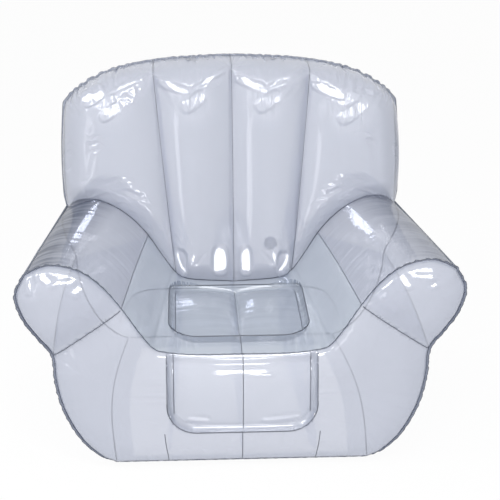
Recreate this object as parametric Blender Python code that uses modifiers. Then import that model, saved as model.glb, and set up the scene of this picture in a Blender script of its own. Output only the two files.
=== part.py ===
"""Clear inflatable lounge chair.

Metres, +Z up, the sitter faces -Y and +X is the viewer's right in a front view.
The origin is under the middle of the chair, on the floor.

The chair is a skin of thin film panels. Neighbouring panels are welded along
shared seam curves, and each seam curve is written once, so both panels and the
weld strip between them follow the same points. Inside, film webs tie opposite
panels together and give the backrest its tubes and the arms their round section.
"""

import math

import bmesh
import bpy
import numpy as np
from mathutils import Matrix, Vector

COLLECTION_NAME = "inflatable_lounge_chair"
CUTTER_COLLECTION_NAME = "cutters"

# Film, welds and clearances
FILM = 0.0004
CLEARANCE = 0.0004
PANEL_EDGE = 0.0010
WEB_INSET = 0.0012
WELD_THICKNESS = 0.0008
WELD_WIDTH = 0.0040
OUTLINE_WELD_WIDTH = 0.0080
BEAD_RADIUS = 0.0010
WELD_END_GAP = 0.0080
ARCH_WELD_END_SHARE = 0.5
JUNCTION_BEAD_END_STEP = 0.25
ARM_WELD_RISE_SHARE = 0.7
BASE_WELD_DROP_SHARE = 0.8
LOW_WELD_Z = 0.026
CUT_OVERRUN = 0.0200
MERGE_DISTANCE = 0.00004
MIRROR_MERGE_DISTANCE = 0.0001
TURN_MERGE_DISTANCE = 0.00001

# Front seam and arms
FRONT_Y = -0.406
SEAT_Z = 0.289
ARM_RISE = 0.230
FRONT_TIP_X = 0.505
BASE_SEAM_Z = 0.013
FRONT_BULGE = 0.030
ARM_FRONT_BULGE = 0.042
FRONT_ROUND = 0.075
FRONT_VALLEY_SHARE = 0.45
ARM_BULGE = 0.006
SIDE_BULGE = 0.010
BASE_SIDE_BOW = 0.028
BASE_ROUND = 0.045

# Seat and backrest
SEAT_DEPTH = 0.520
SEAT_BULGE = 0.010
SEAT_TURN_POWER = 4.0
JUNCTION_Z = 0.287
BACK_ARM_RISE = 0.219
BACK_CORNER_X = 0.458
OUTLINE_SET_BACK = 0.109
BACK_LEAN_RATIO = 0.227
CROWN_CORNER_X = 0.457
CROWN_CORNER_Z = 0.743
TOP_Z = 0.868
BACK_SIDE_BOW = 0.006
FACE_ROUND = 0.070
TUBE_BULGE = 0.034
BELLY_BULGE = 0.026
BELLY_REACH = 0.090
TUBE_CREST_SHARE = 0.5
TUBE_ROUNDNESS_POWER = 0.8
CORNER_PULL_POWER = 9.0

# Rear and base
REAR_TOP_SET_BACK = 0.045113
REAR_LOW_SET_BACK = 0.330
REAR_BASE_SET_BACK = 0.276
REAR_ROUND = 0.100
REAR_TUBE_BULGE = 0.018
REAR_TUBE_FADE = 0.160
ARCH_Z = 0.146

# Seat recess and front recess
RECESS_HALF_WIDTH = 0.176
RECESS_CORNER = 0.045
RECESS_DEPTH = 0.022
RECESS_WALL_RUN = 0.011
LOBE_RISE = 0.015
SEAT_RECESS_FRONT_GAP = 0.103
SEAT_RECESS_BACK_GAP = 0.050
FRONT_RECESS_HALF_WIDTH = 0.181
FRONT_RECESS_BOTTOM_Z = 0.098
FRONT_RECESS_CORNER = 0.050
FRONT_LOBE_RISE = 0.012
RECESS_TOP_FADE = 0.030

# Webs
BACK_WEB_FOOT_Z = 0.345
AIR_HOLE_RADIUS = 0.028
BACK_AIR_HOLE_SHARES = (0.20, 0.50, 0.80)
SEAT_AIR_HOLE_SHARES = (0.25, 0.50, 0.75)
SEAT_WEB_END = 0.004
SEAT_WEB_RISE_RUN = 0.014

# Valve
VALVE_X = 0.110
VALVE_Z = 0.250
VALVE_FLANGE_RADIUS = 0.0200
VALVE_FLANGE_THICKNESS = 0.0008
STEM_RADIUS = 0.0080
STEM_WALL = 0.0020
STEM_LENGTH = 0.0220
STEM_COLLAR_RADIUS = 0.0105
STEM_COLLAR_THICKNESS = 0.0014
STEM_COLLAR_EDGE = 0.0003
STOPPER_LENGTH = 0.0090
STOPPER_HEAD_RADIUS = 0.0085
STOPPER_HEAD_THICKNESS = 0.0018
STOPPER_EDGE = 0.0004
FLAP_THICKNESS = 0.0006
FLAP_EAR_WIDTH = 0.0050
FLAP_EAR_REACH = 0.0020
STRAP_WIDTH = 0.0040
STRAP_THICKNESS = 0.0010
STRAP_RISE = 0.0060

# Outlines as shares of the sizes above. Row k of each list is seam point k.
LAST_POINT = 11
WEB_POINT = 2
ARM_WEB_POINT = 5
FRONT_SEAM_SHARES = (
    (0.000, 0.000), (0.228, 0.000), (0.352, 0.030), (0.416, 0.075),
    (0.479, 0.243), (0.562, 0.520), (0.638, 0.735), (0.717, 0.890),
    (0.796, 0.970), (0.881, 1.000), (0.941, 0.970), (1.000, 0.905),
)
JUNCTION_SHARES = (
    (0.000, 0.000), (0.262, 0.037), (0.345, 0.123), (0.393, 0.242),
    (0.437, 0.370), (0.507, 0.580), (0.572, 0.730), (0.644, 0.854),
    (0.721, 0.945), (0.812, 1.000), (0.908, 0.959), (1.000, 0.813),
)
CROWN_SHARES = (
    (0.000, 1.000), (0.274, 0.968), (0.464, 0.896), (0.536, 0.856),
    (0.602, 0.816), (0.667, 0.768), (0.733, 0.704), (0.794, 0.616),
    (0.856, 0.504), (0.915, 0.360), (0.965, 0.200), (1.000, 0.000),
)
ARCH_SHARES = (
    (0.000, 1.000), (0.330, 1.000), (0.500, 1.000), (0.600, 1.000),
    (0.680, 0.990), (0.740, 0.970), (0.790, 0.930), (0.835, 0.870),
    (0.875, 0.760), (0.915, 0.600), (0.955, 0.350), (1.000, 0.000),
)
BASE_SEAM_SHARES = (
    0.000, 0.377, 0.584, 0.640, 0.692, 0.744,
    0.793, 0.839, 0.882, 0.925, 0.964, 1.000,
)
# Sides of the front panel and of the rear panel below the backrest's corner, from
# the top down: share of the corner's distance from the middle, share of its height.
PINCH_POINT = 4
REAR_CORNER_POINT = 8
SIDE_LAST_POINT = 9
FRONT_SIDE_SHARES = (
    (1.000, 1.000), (1.044, 0.897), (1.014, 0.779), (0.952, 0.682), (0.887, 0.585),
    (0.875, 0.438), (0.840, 0.283), (0.764, 0.130), (0.673, 0.035), (0.604, 0.000),
)
REAR_SIDE_SHARES = (
    (1.000, 1.000), (1.035, 0.900), (1.026, 0.790), (1.000, 0.700), (0.974, 0.613),
    (0.965, 0.469), (0.926, 0.303), (0.843, 0.139), (0.742, 0.038), (0.666, 0.000),
)
REAR_SIDE_SET_BACK_SHARES = (
    0.00, 0.10, 0.28, 0.45, 0.60, 0.75, 0.87, 0.95, 0.99, 1.00,
)

# Where the panels' grids have their lines
SEAT_COLUMN_SHARES = (0.0, 0.14, 0.28, 0.40, 0.54, 0.68, 0.84, 1.0)
ARM_COLUMN_SHARES = (0.0, 0.15, 0.30, 0.45, 0.60, 0.74, 0.87, 1.0)
LENGTH_SHARES = (0.0, 0.03, 0.11, 0.27, 0.50, 0.73, 0.89, 0.97, 1.0)
SIDE_UPPER_SHARES = (0.0, 0.14, 0.34, 0.60, 0.84, 1.0)
SIDE_LOWER_SHARES = (0.0, 0.22, 0.46, 0.70, 0.88, 1.0)
BACK_HEIGHT_SHARES = (0.0, 0.015, 0.05, 0.12, 0.28, 0.50, 0.72, 0.88, 0.97, 1.0)
LOW_STRIP_SHARES = (0.0, 0.35, 0.75, 1.0)
RECESS_WIDTH_SHARES = (0.0, 0.20, 0.45, 0.68, 0.84, 0.93, 0.97, 1.0)
RECESS_LENGTH_SHARES = (0.0, 0.03, 0.07, 0.20, 0.50, 0.80, 0.93, 0.97, 1.0)
WEB_WIDTH_SHARES = (0.0, 0.33, 0.67, 1.0)
STRAP_ARCH_SHARES = ((0.0, 0.0), (0.06, 0.55), (0.30, 1.0), (0.62, 0.85), (0.88, 0.40), (1.0, 0.0))

ARC_STEPS = 6
HOLE_STEPS = 14
ROUND_STEPS = 32
DENSE_STEPS = 60

TIP_Z_SHARE = FRONT_SEAM_SHARES[LAST_POINT][1]
BACK_CORNER_Z = JUNCTION_Z + BACK_ARM_RISE * JUNCTION_SHARES[LAST_POINT][1]
SEAT_BACK_Y = FRONT_Y + SEAT_DEPTH
TOP_OUTLINE_Y = SEAT_BACK_Y + BACK_LEAN_RATIO * (TOP_Z - JUNCTION_Z) + OUTLINE_SET_BACK
REAR_TOP_Y = TOP_OUTLINE_Y + REAR_TOP_SET_BACK
REAR_LOW_Y = SEAT_BACK_Y + REAR_LOW_SET_BACK
REAR_BASE_Y = SEAT_BACK_Y + REAR_BASE_SET_BACK
SIDES = (("left", -1.0), ("right", 1.0))


def make_material(name, color, roughness, alpha=1.0):
    """A Principled material of one plain finish."""
    material = bpy.data.materials.new(name)
    material.use_nodes = True
    shader = material.node_tree.nodes["Principled BSDF"]
    shader.inputs["Base Color"].default_value = (*color, 1.0)
    shader.inputs["Roughness"].default_value = roughness
    shader.inputs["Metallic"].default_value = 0.0
    shader.inputs["Alpha"].default_value = alpha
    return material


def clear_scene():
    """Remove what the start-up file holds."""
    for item in list(bpy.data.objects):
        bpy.data.objects.remove(item, do_unlink=True)


def make_collection(name):
    collection = bpy.data.collections.new(name)
    bpy.context.scene.collection.children.link(collection)
    return collection


def smooth_points(points, places):
    """A Catmull-Rom curve through points, read at places counted in points."""
    points = np.asarray(points, dtype=float)
    places = np.asarray(places, dtype=float)
    padded = np.vstack([2 * points[0] - points[1], points, 2 * points[-1] - points[-2]])
    start = np.clip(np.floor(places).astype(int), 0, len(points) - 2)
    part = (places - start)[:, None]
    before, first, last, after = (padded[start + step] for step in range(4))
    return 0.5 * (
        2 * first
        + (last - before) * part
        + (2 * before - 5 * first + 4 * last - after) * part**2
        + (3 * first - before - 3 * last + after) * part**3
    )


def round_edge(distance, reach):
    """0 at a seam, rising as a quarter circle to 1 at reach."""
    share = np.clip(distance / reach, 0.0, 1.0)
    return np.sqrt(1.0 - (1.0 - share) ** 2)


def soft_edge(distance, reach):
    """0 at a seam, rising as a sine to 1 at reach."""
    return np.sin(0.5 * math.pi * np.clip(distance / reach, 0.0, 1.0))


def path_distance(points, path):
    """Distance of each 2D point to a 2D polyline."""
    points = np.asarray(points, dtype=float)
    best = np.full(points.shape[:-1], np.inf)
    for start, end in zip(path[:-1], path[1:]):
        run = end - start
        along = np.clip(((points - start) @ run) / (run @ run), 0.0, 1.0)
        offset = points - (start + along[..., None] * run)
        best = np.minimum(best, np.linalg.norm(offset, axis=-1))
    return best


# Seam curves. Each gives an array of 3D points on the +X side.

def front_tip():
    return np.array([FRONT_TIP_X, FRONT_Y, SEAT_Z + TIP_Z_SHARE * ARM_RISE])


def front_seam(places):
    shares = smooth_points(FRONT_SEAM_SHARES, places)
    return np.stack([
        FRONT_TIP_X * shares[:, 0],
        np.full(len(shares), FRONT_Y),
        SEAT_Z + ARM_RISE * shares[:, 1],
    ], axis=1)


def front_side(places):
    """The front panel's side edge, from the arm's tip to the floor corner."""
    shares = smooth_points(FRONT_SIDE_SHARES, places)
    tip = front_tip()
    return np.stack([
        tip[0] * shares[:, 0],
        np.full(len(shares), FRONT_Y),
        BASE_SEAM_Z + (tip[2] - BASE_SEAM_Z) * shares[:, 1],
    ], axis=1)


def rear_side(places):
    """The side panel's rear edge, from the backrest's corner to the floor corner."""
    shares = smooth_points(REAR_SIDE_SHARES, places)
    set_back = smooth_points(np.array(REAR_SIDE_SET_BACK_SHARES)[:, None], places)[:, 0]
    corner_y = outline_plane_y(BACK_CORNER_Z)
    return np.stack([
        BACK_CORNER_X * shares[:, 0],
        corner_y + (REAR_BASE_Y - corner_y) * set_back,
        BASE_SEAM_Z + (BACK_CORNER_Z - BASE_SEAM_Z) * shares[:, 1],
    ], axis=1)


def face_y(z):
    """The leaning plane that the backrest's front webs pull its face to."""
    return FRONT_Y + SEAT_DEPTH + BACK_LEAN_RATIO * (z - JUNCTION_Z)


def outline_plane_y(z):
    """The leaning plane of the backrest's outline seam, behind its face."""
    return face_y(z) + OUTLINE_SET_BACK


def crown(places):
    """The backrest's top seam, from the middle to its upper corner."""
    shares = smooth_points(CROWN_SHARES, places)
    z = CROWN_CORNER_Z + (TOP_Z - CROWN_CORNER_Z) * shares[:, 1]
    return np.stack([CROWN_CORNER_X * shares[:, 0], outline_plane_y(z), z], axis=1)


def back_side(shares):
    """The backrest's side seam, from its upper corner down to the arm."""
    shares = np.asarray(shares, dtype=float)
    z = CROWN_CORNER_Z + (BACK_CORNER_Z - CROWN_CORNER_Z) * shares
    x = CROWN_CORNER_X + (BACK_CORNER_X - CROWN_CORNER_X) * shares
    x = x + BACK_SIDE_BOW * np.sin(math.pi * shares)
    return np.stack([x, outline_plane_y(z), z], axis=1)


def back_outline_path():
    """The backrest's outline in X and Z, finely stepped."""
    steps = np.linspace(0.0, 1.0, DENSE_STEPS)
    path = np.vstack([crown(steps * LAST_POINT), back_side(steps)[1:]])
    return path[:, [0, 2]]


def rear_outline_path():
    """The rear panel's outline in X and Z, down to the floor corner."""
    steps = np.linspace(0.0, 1.0, DENSE_STEPS)
    return np.vstack([back_outline_path(), rear_side(steps * SIDE_LAST_POINT)[1:, [0, 2]]])


def face_blend(xz):
    """0 on the backrest's outline, 1 on its face."""
    return round_edge(path_distance(xz, back_outline_path()), FACE_ROUND)


def junction(places):
    """The seam where the seat and arms meet the backrest."""
    shares = smooth_points(JUNCTION_SHARES, places)
    x = BACK_CORNER_X * shares[:, 0]
    z = JUNCTION_Z + BACK_ARM_RISE * shares[:, 1]
    blend = face_blend(np.stack([x, z], axis=1))
    blend = blend * (1.0 - shares[:, 0] ** CORNER_PULL_POWER)
    y = face_y(z) + (outline_plane_y(z) - face_y(z)) * (1.0 - blend)
    return np.stack([x, y, z], axis=1)


def arm_seam(shares):
    """The straight seam on top of the arm's outer side, from front to back."""
    shares = np.asarray(shares, dtype=float)[:, None]
    start = front_tip()
    end = rear_side([0.0])[0]
    return start + (end - start) * shares


def base_corner(front):
    return (front_side if front else rear_side)([float(SIDE_LAST_POINT)])[0]


def base_side(shares):
    """The seam between a side panel and the base, from front to back."""
    shares = np.asarray(shares, dtype=float)[:, None]
    start = base_corner(True)
    end = base_corner(False)
    bow = np.array([BASE_SIDE_BOW, 0.0, 0.0]) * np.sin(math.pi * shares)
    return start + (end - start) * shares + bow


def base_end(places, front):
    """The straight seam along the base's front or rear edge."""
    shares = smooth_points(np.array(BASE_SEAM_SHARES)[:, None], places)
    corner = base_corner(front)
    points = np.repeat(corner[None, :], len(shares), axis=0)
    points[:, 0] = corner[0] * shares[:, 0]
    return points


def arch(places):
    """The arched seam between the rear panel and the rear base panel."""
    shares = smooth_points(ARCH_SHARES, places)
    corner = rear_side([float(REAR_CORNER_POINT)])[0]
    x = corner[0] * shares[:, 0]
    z = corner[2] + (ARCH_Z - corner[2]) * shares[:, 1]
    y = rear_surface_y(np.stack([x, z], axis=1), places)
    y[-1] = corner[1] if places[-1] == LAST_POINT else y[-1]
    return np.stack([x, y, z], axis=1)


# Grid lines shared by neighbouring panels

def seat_places():
    return ARM_WEB_POINT * np.array(SEAT_COLUMN_SHARES)


def arm_places():
    return ARM_WEB_POINT + (LAST_POINT - ARM_WEB_POINT) * np.array(ARM_COLUMN_SHARES)


def all_places():
    return np.concatenate([seat_places(), arm_places()[1:]])


def side_places():
    upper = PINCH_POINT * np.array(SIDE_UPPER_SHARES)
    lower = PINCH_POINT + (SIDE_LAST_POINT - PINCH_POINT) * np.array(SIDE_LOWER_SHARES)
    return np.concatenate([upper, lower[1:]])


# Surfaces

def tube_profile(places, face_share):
    """0 on the webs and 1 on the crest of each upright tube, by seam place."""
    inner = np.clip(places / WEB_POINT, 0.0, 1.0)
    outer = np.clip((places - WEB_POINT) / (LAST_POINT - WEB_POINT), 0.0, 1.0)
    inner_tube = np.sin(math.pi * inner) ** TUBE_ROUNDNESS_POWER
    outer_tube = np.sin(math.pi * np.minimum(outer, TUBE_CREST_SHARE)) ** TUBE_ROUNDNESS_POWER
    return np.where(places <= WEB_POINT, inner_tube, outer_tube) * face_share


def backrest_surface(xz, places):
    """Y of the backrest's front, for points in X and Z with their seam places."""
    z = xz[..., 1]
    blend = face_blend(xz)
    steps = np.linspace(0.0, LAST_POINT, DENSE_STEPS)
    foot_path = junction(steps)[:, [0, 2]]
    rise = soft_edge(path_distance(xz, foot_path), BELLY_REACH)
    y = face_y(z) + (outline_plane_y(z) - face_y(z)) * (1.0 - blend)
    bulge = BELLY_BULGE + TUBE_BULGE * tube_profile(places, np.ones_like(z))
    return y - bulge * rise * blend


def rear_face_y(z):
    """The rear panel's middle line, and the rounded foot under the arch."""
    upper = (TOP_Z - z) / (TOP_Z - ARCH_Z)
    above = REAR_TOP_Y + (REAR_LOW_Y - REAR_TOP_Y) * np.clip(upper, 0.0, 1.0)
    foot = round_edge(z - BASE_SEAM_Z, ARCH_Z - BASE_SEAM_Z)
    below = REAR_BASE_Y + (REAR_LOW_Y - REAR_BASE_Y) * foot
    return np.where(z >= ARCH_Z, above, below)


def rear_seam_y(z):
    """Y of the rear panel's side seam at a height."""
    steps = rear_side(np.linspace(SIDE_LAST_POINT, 0.0, DENSE_STEPS))
    low = np.interp(z, steps[:, 2], steps[:, 1])
    return np.where(z >= BACK_CORNER_Z, outline_plane_y(z), low)


def rear_surface_y(xz, places):
    """Y of the rear panel, for points in X and Z with their seam places."""
    z = xz[..., 1]
    blend = round_edge(path_distance(xz, rear_outline_path()), REAR_ROUND)
    tube = tube_profile(places, soft_edge(z - BACK_WEB_FOOT_Z, REAR_TUBE_FADE))
    seam = rear_seam_y(z)
    return seam + (rear_face_y(z) - seam + REAR_TUBE_BULGE * tube) * blend


def front_boundary_path():
    """The front panel's edge in X and Z, from the top middle round to the floor."""
    steps = np.linspace(0.0, 1.0, DENSE_STEPS)
    top = front_seam(steps * LAST_POINT)
    side = front_side(steps * SIDE_LAST_POINT)
    bottom = base_end((1.0 - steps) * LAST_POINT, True)
    return np.vstack([top, side[1:], bottom[1:]])[:, [0, 2]]


def front_arm_web_path():
    """The straight line on the front panel where the arm's web is welded."""
    start = front_seam([float(ARM_WEB_POINT)])[0]
    end = front_side([float(PINCH_POINT)])[0]
    return np.stack([start, end])[:, [0, 2]]


def front_surface_y(xz):
    """Y of the front panel, for points in X and Z."""
    edge = path_distance(xz, front_boundary_path())
    web = path_distance(xz, front_arm_web_path())
    start, end = front_arm_web_path()
    run = end - start
    above = (xz[..., 0] - start[0]) * run[1] - (xz[..., 1] - start[1]) * run[0] < 0.0
    crest = np.where(above, ARM_FRONT_BULGE, FRONT_BULGE)
    valley = FRONT_VALLEY_SHARE + (1.0 - FRONT_VALLEY_SHARE) * soft_edge(web, FRONT_ROUND)
    return FRONT_Y - crest * round_edge(edge, FRONT_ROUND) * valley


def skin_grid(places, lengths):
    """Points of the seat and arm skin: rows run back, columns run outwards."""
    start = front_seam(places)
    end = junction(places)
    low = np.clip(1.0 - places / ARM_WEB_POINT, 0.0, 1.0)
    rows = []
    for share in lengths:
        turn = share ** (1.0 + (SEAT_TURN_POWER - 1.0) * low)
        row = start + (end - start) * turn[:, None]
        row[:, 1] = start[:, 1] + (end[:, 1] - start[:, 1]) * share
        swell = math.sin(math.pi * share)
        row[:, 2] += SEAT_BULGE * swell * low
        row[:, 2] += ARM_BULGE * swell * (1.0 - low) * (places < LAST_POINT)
        rows.append(row)
    return np.array(rows)


def seat_height(x, y):
    """Z of the seat skin at a place in plan."""
    share = np.clip((y - FRONT_Y) / SEAT_DEPTH, 0.0, 1.0)
    row = skin_grid(np.linspace(0.0, ARM_WEB_POINT, DENSE_STEPS), [share])[0]
    return float(np.interp(abs(x), row[:, 0], row[:, 2]))


def edge_patch(top, bottom, start, end, columns, rows):
    """A Coons patch between four seam curves, with shares for rows and columns."""
    across = columns[None, :, None]
    down = rows[:, None, None]
    ruled = (1 - down) * top[None] + down * bottom[None]
    cross = (1 - across) * start[:, None] + across * end[:, None]
    corners = (
        (1 - down) * ((1 - across) * top[0] + across * top[-1])
        + down * ((1 - across) * bottom[0] + across * bottom[-1])
    )
    return ruled + cross - corners


def pull_in(grid, top=0.0, bottom=0.0, start=0.0, end=0.0):
    """Move a grid's edges inwards, so that the weld has room between panels."""
    grid = grid.copy()
    moves = (
        (np.s_[0], np.s_[1], top), (np.s_[-1], np.s_[-2], bottom),
        (np.s_[:, 0], np.s_[:, 1], start), (np.s_[:, -1], np.s_[:, -2], end),
    )
    for edge, inner, distance in moves:
        run = grid[inner] - grid[edge]
        length = np.linalg.norm(run, axis=-1, keepdims=True)
        grid[edge] = grid[edge] + run * (distance / length)
    return grid


# Meshes and modifiers

def link(name, mesh, material, collection):
    item = bpy.data.objects.new(name, mesh)
    collection.objects.link(item)
    if material:
        mesh.materials.append(material)
    return item


def grid_mesh(name, grid, outward):
    """A sheet of quads through a grid of points, facing outward."""
    rows, columns = grid.shape[:2]
    first = grid[1:, :-1] - grid[:-1, 1:]
    second = grid[1:, 1:] - grid[:-1, :-1]
    facing = np.cross(first, second).sum(axis=(0, 1)) @ np.asarray(outward, dtype=float)
    faces = []
    for row in range(rows - 1):
        for column in range(columns - 1):
            corner = row * columns + column
            face = (corner, corner + columns, corner + columns + 1, corner + 1)
            faces.append(face if facing > 0.0 else face[::-1])
    mesh = bpy.data.meshes.new(name)
    mesh.from_pydata([tuple(point) for point in grid.reshape(-1, 3)], [], faces)
    mesh.shade_smooth()
    return mesh


def add_mirror(item):
    mirror = item.modifiers.new("mirror", "MIRROR")
    mirror.use_axis = (True, False, False)
    mirror.use_clip = True
    mirror.merge_threshold = MIRROR_MERGE_DISTANCE


def add_thickness(item, thickness, offset=-1.0):
    solidify = item.modifiers.new("film", "SOLIDIFY")
    solidify.thickness = thickness
    solidify.offset = offset
    solidify.use_even_offset = True


def add_boolean(item, cutter, operation):
    boolean = item.modifiers.new(operation.lower(), "BOOLEAN")
    boolean.operation = operation
    boolean.object = cutter
    boolean.solver = "EXACT"


def hide_cutter(item):
    item.hide_render = True
    item.display_type = "WIRE"


def film_panel(name, grid, outward, material, collection, mirrored=False):
    """A panel of film: an open sheet given the film's thickness inwards."""
    item = link(name, grid_mesh(name, grid, outward), material, collection)
    if mirrored:
        add_mirror(item)
    add_thickness(item, FILM)
    return item


def on_side(grid, side):
    """A copy of the points on the left (-1) or right (1) side."""
    grid = grid.copy()
    grid[..., 0] *= side
    return grid


def weld_strip(name, path, outward, width, material, collection, mirrored=False):
    """A flat fused strip that stands out from a seam."""
    length = np.linalg.norm(outward, axis=1, keepdims=True)
    outer = path + outward * (width / length)
    grid = np.stack([path, outer])
    item = link(name, grid_mesh(name, grid, (1.0, 0.0, 1.0)), material, collection)
    if mirrored:
        add_mirror(item)
    add_thickness(item, WELD_THICKNESS, offset=0.0)
    return item


def weld_bead(name, path, material, collection, closed=False):
    """A round weld bead along a seam that lies in a valley."""
    data = bpy.data.curves.new(name, "CURVE")
    data.dimensions = "3D"
    spline = data.splines.new("POLY")
    spline.points.add(len(path) - 1)
    for point, place in zip(spline.points, path):
        point.co = (*place, 1.0)
    spline.use_cyclic_u = closed
    data.bevel_depth = BEAD_RADIUS
    data.bevel_resolution = 1
    data.use_fill_caps = not closed
    return link(name, data, material, collection)


def flat_sheet(name, outline, holes, thickness, collection, material):
    """A flat sheet from a 2D outline with holes, lying in local X and Y."""
    data = bpy.data.curves.new(name + "_outline", "CURVE")
    data.dimensions = "2D"
    data.fill_mode = "BOTH"
    data.extrude = 0.5 * thickness
    for ring in (outline, *holes):
        spline = data.splines.new("POLY")
        spline.points.add(len(ring) - 1)
        for point, place in zip(spline.points, ring):
            point.co = (place[0], place[1], 0.0, 1.0)
        spline.use_cyclic_u = True
    source = bpy.data.objects.new(name + "_outline", data)
    collection.objects.link(source)
    evaluated = source.evaluated_get(bpy.context.evaluated_depsgraph_get())
    mesh = bpy.data.meshes.new_from_object(evaluated)
    bpy.data.objects.remove(source, do_unlink=True)
    cage = bmesh.new()
    cage.from_mesh(mesh)
    bmesh.ops.remove_doubles(cage, verts=cage.verts, dist=MERGE_DISTANCE)
    cage.to_mesh(mesh)
    cage.free()
    mesh.name = name
    return link(name, mesh, material, collection)


def circle(center, radius, steps):
    angles = [2.0 * math.pi * step / steps for step in range(steps)]
    return [(center[0] + radius * math.cos(a), center[1] + radius * math.sin(a)) for a in angles]


def rounded_rectangle(half_width, low, high, corner):
    """A closed outline: X runs across the middle, the other axis from low to high."""
    corner = min(corner, half_width, 0.5 * (high - low))
    centers = (
        (half_width - corner, low + corner, -0.5), (half_width - corner, high - corner, 0.0),
        (corner - half_width, high - corner, 0.5), (corner - half_width, low + corner, 1.0),
    )
    points = []
    for x, y, start in centers:
        for step in range(ARC_STEPS + 1):
            angle = math.pi * (start + 0.5 * step / ARC_STEPS)
            points.append((x + corner * math.cos(angle), y + corner * math.sin(angle)))
    return points


# Panels

def build_seat_and_arms(film, collection):
    seat = skin_grid(seat_places(), LENGTH_SHARES)
    seat = pull_in(seat, top=PANEL_EDGE, bottom=PANEL_EDGE + BEAD_RADIUS, end=CLEARANCE)
    seat_item = film_panel("seat_panel", seat, (0, 0, 1), film, collection, mirrored=True)
    arm = skin_grid(arm_places(), LENGTH_SHARES)
    arm = pull_in(arm, PANEL_EDGE, PANEL_EDGE + BEAD_RADIUS, CLEARANCE, PANEL_EDGE)
    for word, side in SIDES:
        film_panel(word + "_arm_panel", on_side(arm, side), (side, 0, 1), film, collection)
    return seat_item


def build_side_panels(film, collection):
    places = side_places()
    lengths = np.array(LENGTH_SHARES)
    heights = places / SIDE_LAST_POINT
    grid = edge_patch(
        arm_seam(lengths), base_side(lengths), front_side(places), rear_side(places),
        lengths, heights,
    )
    upper = np.clip(places / PINCH_POINT, 0.0, 1.0)
    lower = np.clip((places - PINCH_POINT) / (SIDE_LAST_POINT - PINCH_POINT), 0.0, 1.0)
    swell = np.sin(math.pi * upper) + np.sin(math.pi * lower)
    grid[..., 0] += SIDE_BULGE * swell[:, None] * np.sin(math.pi * lengths)[None, :]
    panel = pull_in(grid, PANEL_EDGE, PANEL_EDGE, PANEL_EDGE, PANEL_EDGE)
    for word, side in SIDES:
        film_panel(word + "_side_panel", on_side(panel, side), (side, 0, 0), film, collection)
    return grid


def build_front_panel(film, collection):
    places = all_places()
    side = front_side(side_places())
    side_rows = side_places() / SIDE_LAST_POINT
    middle = np.array([[0.0, FRONT_Y, SEAT_Z], [0.0, FRONT_Y, BASE_SEAM_Z]])
    middle = middle[0] + (middle[1] - middle[0]) * side_rows[:, None]
    grid = edge_patch(
        front_seam(places), base_end(places, True), middle, side,
        places / LAST_POINT, side_rows,
    )
    xz = grid[..., [0, 2]]
    inner = front_surface_y(xz)
    grid[1:-1, :-1, 1] = inner[1:-1, :-1]
    grid = pull_in(grid, top=PANEL_EDGE, bottom=PANEL_EDGE, end=PANEL_EDGE)
    return film_panel("front_panel", grid, (0, -1, 0), film, collection, mirrored=True)


def build_backrest_panel(film, collection):
    places = all_places()
    rows = np.array(BACK_HEIGHT_SHARES)
    top = crown(places)
    bottom = junction(places)
    middle = top[0] + (bottom[0] - top[0]) * rows[:, None]
    grid = edge_patch(top, bottom, middle, back_side(rows), places / LAST_POINT, rows)
    spread = np.repeat(places[None, :], len(rows), axis=0)
    inner = backrest_surface(grid[..., [0, 2]], spread)
    grid[1:-1, :-1, 1] = inner[1:-1, :-1]
    panel = pull_in(grid, top=PANEL_EDGE, bottom=PANEL_EDGE + BEAD_RADIUS, end=PANEL_EDGE)
    film_panel("backrest_panel", panel, (0, -1, 0), film, collection, mirrored=True)
    return grid


def rear_edges():
    """The rear panel's side edge and the row shares that go with it."""
    upper = back_side(BACK_HEIGHT_SHARES)
    places = side_places()
    lower = rear_side(places[places <= REAR_CORNER_POINT])
    lower = np.vstack([lower, rear_side([float(REAR_CORNER_POINT)])])
    return np.vstack([upper, lower[1:]])


def build_rear_panels(film, collection):
    places = all_places()
    edge = rear_edges()
    heights = edge[:, 2]
    rows = (heights[0] - heights) / (heights[0] - heights[-1])
    top = crown(places)
    bottom = arch(places)
    middle = top[0] + (bottom[0] - top[0]) * rows[:, None]
    grid = edge_patch(top, bottom, middle, edge, places / LAST_POINT, rows)
    spread = np.repeat(places[None, :], len(rows), axis=0)
    inner = rear_surface_y(grid[..., [0, 2]], spread)
    grid[1:-1, :-1, 1] = inner[1:-1, :-1]
    panel = pull_in(grid, top=PANEL_EDGE, bottom=PANEL_EDGE, end=PANEL_EDGE)
    rear = film_panel("rear_panel", panel, (0, 1, 0), film, collection, mirrored=True)

    shares = np.array(LOW_STRIP_SHARES)
    foot = base_end(places, False)
    strip = bottom[None] + (foot - bottom)[None] * shares[:, None, None]
    strip[1:-1, :, 1] = rear_surface_y(strip[1:-1][..., [0, 2]], spread[: len(shares) - 2])
    strip = pull_in(strip, top=PANEL_EDGE, bottom=PANEL_EDGE, end=PANEL_EDGE)
    film_panel("rear_base_panel", strip, (0, 1, 0), film, collection, mirrored=True)
    return rear, grid


def build_base_panel(film, collection):
    places = all_places()
    lengths = np.array(LENGTH_SHARES)
    front = base_end(places, True)
    rear = base_end(places, False)
    middle = front[0] + (rear[0] - front[0]) * lengths[:, None]
    grid = edge_patch(front, rear, middle, base_side(lengths), places / LAST_POINT, lengths)
    edge = np.vstack([front, base_side(lengths)[1:], rear[::-1][1:]])[:, [0, 1]]
    inward = path_distance(grid[..., [0, 1]], edge)
    grid[..., 2] = BASE_SEAM_Z * (1.0 - round_edge(inward, BASE_ROUND))
    grid = pull_in(grid, top=PANEL_EDGE, bottom=PANEL_EDGE, end=PANEL_EDGE)
    film_panel("base_panel", grid, (0, 0, -1), film, collection, mirrored=True)


# Recesses

def dish_depth(inside, wall_run, lobes, rise):
    """Depth of a sunk pocket: a steep wall, then a floor that puffs up in lobes."""
    return RECESS_DEPTH * round_edge(inside, wall_run) - rise * lobes


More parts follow.
